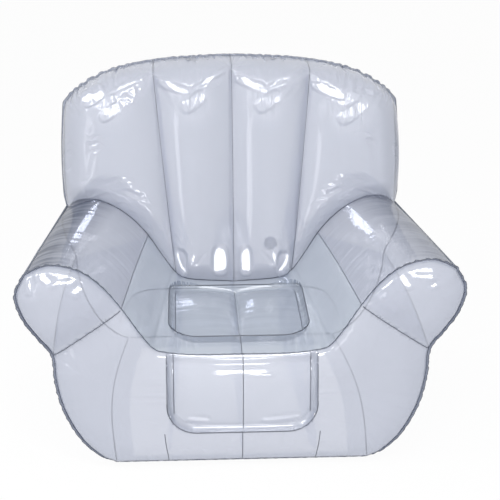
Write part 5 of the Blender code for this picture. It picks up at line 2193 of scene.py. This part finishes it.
@dataclass
class WeldStrip:
    """A fused strip that stands out from a seam, waved where the film is gathered."""

    name: str
    path: Array
    outward: Array
    width: Array | float
    thickness: float = 0.0008
    crimp: Array | float = 0.0
    notch: Array | float = 0.0
    lap: float = 0.10
    crimp_pitch: float = 0.024
    waves: tuple[Triple, ...] = ((1.0, 1.0, 0.0), (0.6, 1.7, 1.0), (0.35, 3.1, 2.0))
    columns: int = 5

    def build(self, material: Material) -> Item:
        """Makes the strip's mesh and closes it to a thin solid.

        Args:
            material: its finish.

        Returns:
            The strip's object.
        """
        outward = unit_rows(self.outward)
        along = run_lengths(self.path)
        sideways = unit_rows(np.cross(np.gradient(self.path, axis=0), outward))
        turns = 2 * math.pi * along / self.crimp_pitch
        wave = sum(height * np.sin(rate * turns + phase) for height, rate, phase in self.waves)
        shares = np.linspace(0.0, 1.0, self.columns)
        width = self.width * (1.0 - self.notch * (1.0 - scallops(along)))
        rows = [
            self.path + outward * (width * (share - self.lap))[:, None]
            + (self.crimp * wave * share)[:, None] * sideways
            for share in shares
        ]
        mesh = sheet_mesh(self.name, np.array(rows), (1, 0, 1))
        mark_points(mesh, ACROSS_WELD, np.repeat(shares, len(along)))
        item = link_mesh(self.name, mesh, material)
        wall = item.modifiers.new("wall", "SOLIDIFY")
        wall.thickness = self.thickness
        wall.offset = 0.0
        return item


def scallops(along: Array) -> Array:
    """Round bumps with sharp notches between them, 0 in a notch and 1 on a bump."""
    total = 0.0
    for size, sway, rate, phase, share, edge in BUMP_ROWS:
        turn = math.pi * (along / size + sway * np.sin(rate * along + phase))
        total = total + share * np.abs(np.sin(turn)) ** edge
    return total


def resample(path: Array, step: float) -> Array:
    """The same path with its points about one step apart.

    Args:
        path: its points, one row each.
        step: the distance wanted between two of them.

    Returns:
        The new points.
    """
    along = run_lengths(path)
    count = max(2, math.ceil(along[-1] / step))
    places = np.linspace(0.0, along[-1], count + 1)
    return np.stack([np.interp(places, along, path[:, axis]) for axis in range(3)], axis=1)


def tube_mesh(name: str, path: Array, radius: float, closed: bool) -> Mesh:
    """A round bead along a path, with closed ends.

    Args:
        name: the mesh's name.
        path: the bead's middle line.
        radius: the bead's radius.
        closed: whether its ends meet.

    Returns:
        The mesh.
    """
    data = bpy.data.curves.new(name, "CURVE")
    data.dimensions = "3D"
    spline = data.splines.new("POLY")
    spline.points.add(len(path) - 1)
    for point, place in zip(spline.points, path):
        point.co = (*place, 1.0)
    spline.use_cyclic_u = closed
    data.bevel_depth = radius
    data.bevel_resolution = 2
    data.use_fill_caps = not closed
    source = bpy.data.objects.new(name, data)
    bpy.context.scene.collection.objects.link(source)
    mesh = baked(source, name)
    with cage_of(mesh) as cage:
        bmesh.ops.remove_doubles(cage, verts=cage.verts, dist=0.00001)
    mesh.shade_smooth()
    return mesh


@dataclass(frozen=True)
class RibTree:
    """Geometry Nodes that press small ribs across a weld, as its heated bar does."""

    pitch: float = 0.0045
    radius: float = 0.0004
    sides: int = 6

    def build(self, material: Material) -> bpy.types.NodeTree:
        """Makes the node group, with named inputs for its sizes.

        Args:
            material: the ribs' finish.

        Returns:
            The node group.
        """
        tree = bpy.data.node_groups.new("pressed_ribs", "GeometryNodeTree")
        tree.is_modifier = True
        face = tree.interface
        face.new_socket("Geometry", in_out="INPUT", socket_type="NodeSocketGeometry")
        for name in ("Pitch", "Rib Length", "Rib Radius"):
            face.new_socket(name, in_out="INPUT", socket_type="NodeSocketFloat")
        face.new_socket("Geometry", in_out="OUTPUT", socket_type="NodeSocketGeometry")
        nodes = {
            name: tree.nodes.new(kind) for name, kind in (
                ("given", "NodeGroupInput"), ("curve", "GeometryNodeMeshToCurve"),
                ("points", "GeometryNodeCurveToPoints"), ("rib", "GeometryNodeMeshCylinder"),
                ("across", "GeometryNodeInputNamedAttribute"),
                ("turn", "FunctionNodeAlignRotationToVector"),
                ("place", "GeometryNodeInstanceOnPoints"),
                ("real", "GeometryNodeRealizeInstances"), ("dress", "GeometryNodeSetMaterial"),
                ("result", "NodeGroupOutput"),
            )
        }
        nodes["points"].mode = "LENGTH"
        nodes["across"].data_type = "FLOAT_VECTOR"
        nodes["across"].inputs["Name"].default_value = "across"
        nodes["rib"].inputs["Vertices"].default_value = self.sides
        nodes["turn"].axis = "Z"
        nodes["dress"].inputs["Material"].default_value = material
        for source, output, target, taker in (
            ("given", "Geometry", "curve", "Mesh"), ("curve", "Curve", "points", "Curve"),
            ("given", "Pitch", "points", "Length"), ("given", "Rib Length", "rib", "Depth"),
            ("given", "Rib Radius", "rib", "Radius"), ("across", "Attribute", "turn", "Vector"),
            ("points", "Points", "place", "Points"), ("rib", "Mesh", "place", "Instance"),
            ("turn", "Rotation", "place", "Rotation"), ("place", "Instances", "real", "Geometry"),
            ("real", "Geometry", "dress", "Geometry"), ("dress", "Geometry", "result", "Geometry"),
        ):
            tree.links.new(nodes[source].outputs[output], nodes[target].inputs[taker])
        return tree

    def press(
        self, name: str, tree: bpy.types.NodeTree, path: Array, across: Array, length: float,
        material: Material,
    ) -> Item:
        """Presses ribs along a path.

        Args:
            name: the new piece's name.
            tree: the node group from build().
            path: the line through the ribs' middles.
            across: which way each rib runs.
            length: how long a rib is.
            material: the ribs' finish.

        Returns:
            The ribs as one plain mesh object.
        """
        line = bpy.data.meshes.new(name + "_line")
        edges = [(index, index + 1) for index in range(len(path) - 1)]
        line.from_pydata([tuple(point) for point in path], edges, [])
        store = line.attributes.new("across", "FLOAT_VECTOR", "POINT")
        store.data.foreach_set("vector", across.astype(np.float32).ravel())
        source = link_mesh(name + "_line", line, material)
        ribs = source.modifiers.new("ribs", "NODES")
        ribs.node_group = tree
        sizes = {"Pitch": self.pitch, "Rib Length": length, "Rib Radius": self.radius}
        for item in tree.interface.items_tree:
            if item.in_out == "INPUT" and item.name in sizes:
                ribs[item.identifier] = sizes[item.name]
        return link_mesh(name, baked(source, name), material)


@dataclass
class Welds:
    """All fused edges and beads of the chair."""

    skin: Skin
    seat_pocket: RoundedFrame
    front_pocket: RoundedFrame
    width: float = 0.004
    flange_width: float = 0.0085
    outline_width: float = 0.0095
    bead: float = 0.0014
    line_radius: float = 0.0010
    end_gap: float = 0.008
    step: float = 0.003
    crimp: float = 0.0005
    side_crimp: float = 0.0008
    least_crimp: float = 0.0003
    side_notch: float = 0.15
    side_start: float = 0.60
    side_fade: float = 0.12
    top_start: float = 0.62
    top_fade: float = 0.14
    corner_fade: float = 0.03
    crown_fade: float = 0.05
    top_thinning: float = 0.45
    rear_pitch: float = 0.038
    rib_place: float = 0.4
    rib_length: float = 0.7
    foot_end: float = 0.25
    arch_end: float = 0.5
    corner_steps: int = 12
    line_points: int = 60
    near_points: int = 4
    rear_line_share: float = 0.5

    def hand_over(self, item: Item, nodes: Sequence[str]) -> None:
        """Lets a weld ride on the chair, and hides the CAD pieces that it takes the place of.

        Args:
            item: the finished object.
            nodes: the CAD pieces that it takes the place of.
        """
        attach(item, CHAIR)
        if nodes:
            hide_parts(*nodes)
        LOG.info("%s: %d faces", item.name, len(item.data.polygons))

    def across_path(self, path: Array, plane: Sequence[float]) -> Array:
        """Unit vectors across a path, in the plane whose normal is given."""
        return unit_rows(np.cross(np.gradient(path, axis=0), np.asarray(plane, dtype=float)))

    def ribbed(self, strip: WeldStrip, tree: bpy.types.NodeTree, finishes: Finishes) -> None:
        """Adds pressed ribs down the middle of a strip.

        Args:
            strip: the strip under the ribs.
            tree: the ribs' node group.
            finishes: the chair's finishes.
        """
        unit = unit_rows(strip.outward)
        width = float(np.min(strip.width))
        line = strip.path + unit * self.rib_place * width
        length = self.rib_length * width
        ribs = RibTree().press(strip.name + "_ribs", tree, line, unit, length, finishes.weld)
        self.hand_over(ribs, ())

    def build(self, finishes: Finishes) -> None:
        """Makes every weld.

        Args:
            finishes: the chair's finishes.
        """
        tree = RibTree().build(finishes.weld)
        for strip, nodes in (self.front_edge(), self.rear_edge()):
            self.hand_over(strip.build(finishes.flange), nodes)
            self.ribbed(strip, tree, finishes)
        for strip, nodes in self.plain_edges():
            self.hand_over(strip.build(finishes.weld), nodes)
        self.beads(finishes)

    def front_edge(self) -> tuple[WeldStrip, tuple[str, ...]]:
        """The weld all round the front panel, the dark W and the outer arm edges.

        Returns:
            The strip and its CAD pieces.
        """
        skin = self.skin
        top = skin.front_seam(np.linspace(0.0, LAST_POINT, 4 * DENSE_STEPS))
        side = skin.front_side(np.linspace(0.0, SIDE_LAST_POINT, 4 * DENSE_STEPS))
        bottom = skin.base_end(np.linspace(LAST_POINT, 0.0, DENSE_STEPS), True)
        half = resample(np.vstack([top, side[1:], bottom[1:]]), self.step)
        across = self.across_path(half, (0, 1, 0))
        across[0], across[-1] = (0, 0, 1), (0, 0, -1)
        outward = across + np.array([0.0, -1.0, 0.0])
        low = half[:, 2] < 2 * skin.base_seam_z
        outward[:, 2] = np.where(low, np.maximum(outward[:, 2], 0.0), outward[:, 2])
        path, outward = both_ways(half), both_ways(outward)
        from_side = np.abs(path[:, 0]) - self.side_start * skin.front_tip_x
        at_side = soft_edge(from_side, self.side_fade)
        width = self.width + (self.flange_width - self.width) * at_side
        crimp = self.crimp + self.side_crimp * at_side
        notch = self.side_notch * at_side
        strip = WeldStrip("front_edge_weld", path, outward, width, crimp=crimp, notch=notch)
        return strip, ("front_panel_weld",)

    def rear_edge(self) -> tuple[WeldStrip, tuple[str, ...]]:
        """The wide crimped flange round the backrest and down the rear corners.

        Returns:
            The strip and its CAD pieces.
        """
        skin = self.skin
        top = skin.crown(np.linspace(0.0, LAST_POINT, 4 * DENSE_STEPS))
        side = skin.back_side(np.linspace(0.0, 1.0, DENSE_STEPS))
        low = skin.rear_side(np.linspace(0.0, SIDE_LAST_POINT, DENSE_STEPS))
        half = resample(np.vstack([top, side[1:], low[1:]]), self.step)
        outward = self.across_path(half, (0.0, 1.0, -skin.back_lean))
        outward[0] = (0.0, skin.back_lean, 1.0)
        floor = half[:, 2] < 2 * skin.base_seam_z
        outward[:, 2] = np.where(floor, 0.0, outward[:, 2])
        gathered = soft_edge(half[:, 2] - self.top_start, self.top_fade) * self.crimp
        gathered = gathered + self.least_crimp
        path, outward = both_ways(half), both_ways(outward)
        crimp = np.concatenate([gathered[:0:-1], gathered])
        above = clamped((path[:, 2] - skin.back_corner_z) / self.corner_fade)
        on_top = self.top_thinning * soft_edge(path[:, 2] - skin.crown_corner_z, self.crown_fade)
        width = self.width + (self.outline_width * (1.0 - on_top) - self.width) * above
        strip = WeldStrip(
            "rear_edge_weld", path, outward, width, crimp=crimp, crimp_pitch=self.rear_pitch,
        )
        return strip, ("rear_outline_weld",)

    def plain_edges(self) -> list[tuple[WeldStrip, tuple[str, ...]]]:
        """The welds along the arms' outer tops, round the base and over the rear arch.

        Returns:
            Each strip with its CAD pieces.
        """
        skin, made = self.skin, []
        share = self.end_gap / run_lengths(skin.arm_seam(np.array([0.0, 1.0])))[-1]
        for part, seam, ends, count, tilt, crimp in (
            ("arm", skin.arm_seam, share, 60, 0.7, 0.0004),
            ("base", skin.base_side, 0.01, 90, -0.8, 0.0),
        ):
            line = resample(seam(np.linspace(ends, 1.0 - ends, count)), self.step)
            for side in Side:
                outward = np.repeat([[side.value, 0.0, tilt]], len(line), axis=0)
                strip = WeldStrip(
                    f"{side.word}_{part}_edge_weld", on_side(line, side), outward, self.width,
                    crimp=crimp,
                )
                made.append((strip, (f"{side.word}_{part}_weld",)))
        places = np.linspace(0.0, LAST_POINT - self.arch_end, 4 * DENSE_STEPS)
        for part, seam in (("arch", skin.arch(places)), ("base", skin.base_end(places, False))):
            path = both_ways(resample(seam, self.step))
            outward = np.repeat([[0.0, 1.0, 0.0]], len(path), axis=0)
            strip = WeldStrip(f"rear_{part}_edge_weld", path, outward, self.width)
            made.append((strip, (f"rear_{part}_weld",)))
        return made

    def beads(self, finishes: Finishes) -> None:
        """The round beads in the valleys: at the backrest's foot and the pockets.

        Args:
            finishes: the chair's finishes.
        """
        skin = self.skin
        half = skin.junction(np.linspace(0.0, LAST_POINT - self.foot_end, 4 * DENSE_STEPS))
        line = resample(both_ways(half), self.step)
        self.bead_piece("backrest_foot_weld", line, False, "backrest_junction_weld", finishes)
        outline = self.seat_pocket.path(self.corner_steps)
        line = np.column_stack([outline, skin.seat_skin_z(outline)])
        self.bead_piece("seat_pocket_weld", line, True, "seat_recess_weld", finishes)
        outline = self.front_pocket.path(self.corner_steps)
        seam = skin.front_seam(np.linspace(0.0, ARM_WEB_POINT, DENSE_STEPS))
        limit = np.interp(self.front_pocket.half_width, seam[:, 0], seam[:, 2]) - self.width
        right = outline[(outline[:, 0] > 0.0) & (outline[:, 1] < limit)]
        right = np.vstack([right, [self.front_pocket.half_width, limit]])
        both = np.vstack([right[::-1], right * (-1.0, 1.0)])
        on_right = np.stack([np.abs(both[:, 0]), both[:, 1]], axis=1)
        line = np.stack([both[:, 0], skin.front_panel_y(on_right), both[:, 1]], axis=1)
        self.bead_piece("front_pocket_weld", line, False, "front_recess_weld", finishes)

    def arm_web_lines(self, panel: FilmPanel, finishes: Finishes) -> None:
        """The slanting lines on the front panel where the arms' webs are welded.

        Args:
            panel: the blown-up panel.
            finishes: the chair's finishes.
        """
        points = panel.grid.reshape(-1, 3)
        tree = point_tree(points * (1.0, 0.0, 1.0))
        start, end = self.skin.front_web_path()
        flat = start + (end - start) * np.linspace(0.01, 0.99, self.line_points)[:, None]
        for side in Side:
            line = []
            for x, z in flat * (side.value, 1.0):
                near = [index for _, index, _ in tree.find_n((x, 0.0, z), self.near_points)]
                line.append((x, points[near, 1].min() - 0.5 * self.line_radius, z))
            name = side.word + "_arm_front_line"
            mesh = tube_mesh(name, np.array(line), self.line_radius, False)
            self.hand_over(link_mesh(name, mesh, finishes.weld), ())

    def web_lines(self, panel: FilmPanel, finishes: Finishes) -> None:
        """The thin fused lines that show on a panel where a web is welded behind it."""
        for name, where in panel.web_lines.items():
            line = resample(panel.line(where), 2 * self.step)
            share = self.rear_line_share if name.startswith("rear") else 1.0
            mesh = tube_mesh(name, line, share * self.line_radius, False)
            self.hand_over(link_mesh(name, mesh, finishes.weld), ())

    def bead_piece(
        self, name: str, line: Array, closed: bool, node: str, finishes: Finishes,
    ) -> None:
        """Makes one bead and hands it over.

        Args:
            name: the new piece's name.
            line: the bead's middle line.
            closed: whether its ends meet.
            node: the CAD piece that it takes the place of.
            finishes: the chair's finishes.
        """
        path = line if closed else resample(line, self.step)
        mesh = tube_mesh(name, path, self.bead, closed)
        self.hand_over(link_mesh(name, mesh, finishes.weld), (node,))


# ---- valve


@dataclass
class Valve:
    """The air valve on the rear panel: its CAD pieces, dressed, and a soft strap."""

    seat: ValveSeat = field(default_factory=ValveSeat)
    strap_width: float = 0.0040
    strap_thickness: float = 0.0010
    strap_steps: int = 49
    strap_sides: int = 16
    strap_squareness: float = 0.4
    stem_end: tuple[float, float] = (0.0127, 0.0042)
    stopper_end: tuple[float, float] = (0.0108, 0.0067)

    def dress(self, finishes: Finishes) -> None:
        """Gives the valve's CAD pieces their finish."""
        for name in ("valve_flange", "valve_stem", "valve_flap", "valve_stopper"):
            dress(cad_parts[name].data, finishes.valve)

    def placed(self, across: Array, side: Array, up: Array) -> Array:
        """Points of the valve's own frame, put where the valve is.

        Args:
            across: distances from the axis towards the stopper.
            side: distances to the side.
            up: heights over the film.

        Returns:
            One point for each set of three.
        """
        axis = Vector(self.seat.axis)
        turn = np.array(axis.to_track_quat("Z", "Y").to_matrix())
        return np.asarray(self.seat.place) + np.stack([across, side, up], axis=-1) @ turn.T

    def strap(self, finishes: Finishes) -> None:
        """The soft strap from the stem's collar to the stopper.

        Args:
            finishes: the chair's finishes.
        """
        places = np.linspace(0.0, len(STRAP_LINE) - 1.0, self.strap_steps)
        line = smooth_points(STRAP_LINE, places)
        run = unit_rows(np.gradient(line, axis=0))
        away = np.stack([-run[:, 1], run[:, 0]], axis=1)
        turns = np.linspace(0.0, 2.0 * math.pi, self.strap_sides, endpoint=False)
        wide, thick = (
            np.sign(wave) * np.abs(wave) ** self.strap_squareness
            for wave in (np.cos(turns), np.sin(turns))
        )
        flat = line[:, None] + 0.5 * self.strap_thickness * away[:, None] * thick[None, :, None]
        side = np.broadcast_to(0.5 * self.strap_width * wide, flat.shape[:2])
        grid = self.placed(flat[..., 0], side, flat[..., 1])
        ring = np.arange(len(turns))
        faces = [
            (row + step, row + after, row + len(turns) + after, row + len(turns) + step)
            for row in range(0, (len(line) - 1) * len(turns), len(turns))
            for step, after in zip(ring, np.roll(ring, -1))
        ]
        faces += [tuple(ring[::-1]), tuple(ring + (len(line) - 1) * len(turns))]
        mesh = make_solid("valve_soft_strap", grid.reshape(-1, 3), faces)
        item = link_mesh("valve_soft_strap", mesh, finishes.valve)
        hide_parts("valve_strap")
        start, end = (
            tuple(map(float, self.placed(np.array(across), np.array(0.0), np.array(up))))
            for across, up in (self.stem_end, self.stopper_end)
        )
        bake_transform(item)
        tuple(start)
        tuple(end)
        LOG.info("%s: %d faces", item.name, len(mesh.polygons))


# ---- stage


@dataclass(frozen=True)
class Softbox:
    """One soft light: where it is, where it looks, its size and its power."""

    name: str
    place: Triple
    target: Triple
    width: float
    height: float
    power: float

    def build(self) -> None:
        """Adds the light."""
        data = bpy.data.lights.new(self.name, "AREA")
        data.shape = "RECTANGLE"
        data.size, data.size_y = self.width, self.height
        data.energy = self.power
        item = bpy.data.objects.new(self.name, data)
        item.location = self.place
        aim = Vector(self.target) - Vector(self.place)
        item.rotation_mode = "QUATERNION"
        item.rotation_quaternion = aim.to_track_quat("-Z", "Y")
        bpy.context.scene.collection.objects.link(item)


@dataclass
class Studio:
    """Floor, backdrop, lights and the camera at the photograph's angle."""

    target: Triple = (0.0396, 0.014, 0.4095)
    azimuth: float = -2.8174
    elevation: float = 18.5
    distance: float = 3.6
    lens: float = 97.8
    floor_size: float = 24.0
    floor_share: float = 0.95
    floor_color: Color = (0.92, 0.92, 0.92)
    backdrop: Color = (0.99, 0.99, 0.99)
    room_heights: tuple[float, float] = (-0.20, 0.80)
    room_levels: tuple[float, float] = (0.72, 0.58)
    film_layers: int = 48

    def build(self) -> None:
        """Makes the whole stage."""
        self.camera()
        self.floor()
        self.world()
        for box in (
            Softbox("key", KEY_LIGHT, (0.0, 0.0, 0.6), 0.9, 0.8, 20.0),
            Softbox("top", TOP_LIGHT, (0.0, 0.0, 0.6), 1.2, 0.6, 20.0),
            Softbox("front_top", FRONT_LIGHT, (0.0, 0.0, 0.4), 1.3, 0.5, 20.0),
            Softbox("front_low", LOW_LIGHT, (0.0, 0.0, 0.4), 0.6, 0.35, 5.8),
            Softbox("left_strip", (-2.0, -2.5, 0.85), (0.0, 0.0, 0.6), 0.5, 1.4, 3.6),
            Softbox("rear", (-0.35, 3.0, 1.42), (0.0, 0.0, 0.5), 0.30, 0.35, 6.0),
        ):
            box.build()

    def back(self) -> Vector:
        """The way from the target to the camera.

        Returns:
            The unit vector.
        """
        turn, rise = math.radians(self.azimuth), math.radians(self.elevation)
        return Vector((
            math.sin(turn) * math.cos(rise), -math.cos(turn) * math.cos(rise), math.sin(rise),
        ))

    def eye(self) -> Vector:
        """Where the camera is."""
        return Vector(self.target) + self.back() * self.distance

    def camera(self) -> None:
        """The camera, on a sphere round the target."""
        data = bpy.data.cameras.new("camera")
        data.sensor_width = 36.0
        data.lens = self.lens
        item = bpy.data.objects.new("camera", data)
        item.location = self.eye()
        item.rotation_mode = "QUATERNION"
        item.rotation_quaternion = (-self.back()).to_track_quat("-Z", "Y")
        bpy.context.scene.collection.objects.link(item)
        bpy.context.scene.camera = item

    def seen_share(self, board: NodeBoard) -> Socket:
        """1 for a ray from the camera, a mirror or clear film, 0 for one that lights.

        Args:
            board: the node tree to add to.

        Returns:
            The share.
        """
        rays = board.add("ShaderNodeLightPath").outputs
        seen = board.number("MAXIMUM", rays["Is Camera Ray"], rays["Is Glossy Ray"])
        return board.number("MAXIMUM", seen, rays["Is Transmission Ray"])

    def floor(self) -> None:
        """A pale floor, almost plain white to the eye, that still takes a shadow."""
        board = NodeBoard(bpy.data.materials.new("pale_floor"))
        amount = board.number("MULTIPLY", self.seen_share(board), self.floor_share)
        matt = board.add("ShaderNodeBsdfDiffuse", {"Color": (*self.floor_color, 1.0)})
        glow = board.add("ShaderNodeEmission", {"Color": (1.0, 1.0, 1.0, 1.0), "Strength": 1.0})
        finish = board.finish(board.mixed(amount, matt.outputs[0], glow.outputs[0]))
        half = 0.5 * self.floor_size
        grid = np.array([[(x, y, 0.0) for y in (-half, half)] for x in (-half, half)])
        link_mesh("floor", sheet_mesh("floor", grid, (0, 0, 1)), finish)

    def world(self) -> None:
        """A plain room that looks white and lights the chair a little less from overhead."""
        scene = bpy.context.scene
        scene.world = bpy.data.worlds.new("room")
        board = NodeBoard(scene.world)
        place = board.add("ShaderNodeTexCoord").outputs["Generated"]
        height = board.add("ShaderNodeSeparateXYZ", {0: place}).outputs["Z"]
        level = board.ranged(height, *self.room_levels, self.room_heights)
        room = board.add("ShaderNodeBackground", {"Color": level}).outputs[0]
        plain = board.add("ShaderNodeBackground", {"Color": (*self.backdrop, 1.0)}).outputs[0]
        seen = board.mixed(self.seen_share(board), room, plain)
        board.add("ShaderNodeOutputWorld", {"Surface": seen})
        scene.view_settings.view_transform = "Standard"
        scene.cycles.transparent_max_bounces = self.film_layers


# ---- the chair


@dataclass
class LoungeChair:
    """The whole chair, built in order round the frame."""

    skin: Skin = field(default_factory=Skin)

    def pockets(self) -> tuple[RoundedFrame, RoundedFrame]:
        """The outlines of the seat's pocket and the front's pocket.

        Returns:
            The seat's outline, then the front's.
        """
        skin = self.skin
        seat = RoundedFrame(
            half_width=0.176, low=skin.front_y + 0.103,
            high=skin.front_y + skin.seat_depth - 0.050, corner=0.072, far_corner=0.085,
        )
        front = RoundedFrame(
            half_width=0.181, low=0.098, high=skin.seat_z + 0.070, corner=0.070, far_corner=0.050,
        )
        return seat, front

    def build(self) -> None:
        """Builds every sub-assembly and dresses it."""
        finishes = Finishes.build()
        seat_pocket, front_pocket = self.pockets()
        seat = SeatAndArms(self.skin, seat_pocket)
        front = FrontAndSides(self.skin, front_pocket)
        back = Backrest(self.skin)
        film, rear = finishes.film, finishes.rear_film
        front_panel = front.front()
        plan = [
            (seat.seat(), "seat_panel", finishes.seat_film),
            (seat.tray(), "seat_recess_panel", finishes.seat_film),
            (front_panel, "front_panel", film), (front.tray(), "front_recess_panel", film),
            (back.front(), "backrest_panel", finishes.back_film),
            (back.rear(), "rear_panel", rear),
            (back.rear_foot(), "rear_base_panel", rear), (back.base(), "base_panel", rear),
        ]
        for side in Side:
            plan.append((seat.arm(side), side.word + "_arm_panel", finishes.arm_film))
            plan.append((front.side(side), side.word + "_side_panel", rear))
        for panel, _, finish in plan:
            panel.make(finish)
        AirPump().blow([panel for panel, _, _ in plan if panel.pins.min() < 1.0])
        for panel, _, _ in plan:
            if panel.pins.min() == 1.0:
                panel.remesh((np.zeros(panel.grid.shape[:2]),) * 2)
        for panel, node, _ in plan:
            panel.close(CHAIR, (node,), "clear_film")
        self.webs(finishes)
        welds = Welds(self.skin, seat_pocket, front_pocket)
        welds.build(finishes)
        welds.arm_web_lines(front_panel, finishes)
        for panel, _, _ in plan:
            welds.web_lines(panel, finishes)
        valve = Valve()
        valve.dress(finishes)
        valve.strap(finishes)
        self.aim_lights()

    def aim_lights(self) -> None:
        """Keeps the rear lamp to the arms and the seat, and the low one to two panels."""
        for lamp, names in (
            ("rear", ("left_arm_skin", "right_arm_skin", "seat_skin", "seat_pocket")),
            ("front_low", ("backrest_skin", "front_pocket")),
        ):
            takers = bpy.data.collections.new(lamp + "_takers")
            for name in names:
                takers.objects.link(bpy.data.objects[name])
            bpy.data.objects[lamp].light_linking.receiver_collection = takers

    def webs(self, finishes: Finishes) -> None:
        """Gives the flat inner webs their clear film."""
        for name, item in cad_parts.items():
            if "_web" in name:
                dress(item.data, finishes.web_film)


def main() -> None:
    """Builds the stage and the chair."""
    logging.basicConfig(level=logging.INFO, format="%(message)s")
    Studio().build()
    LoungeChair().build()


if __name__ == "__main__":
    main()
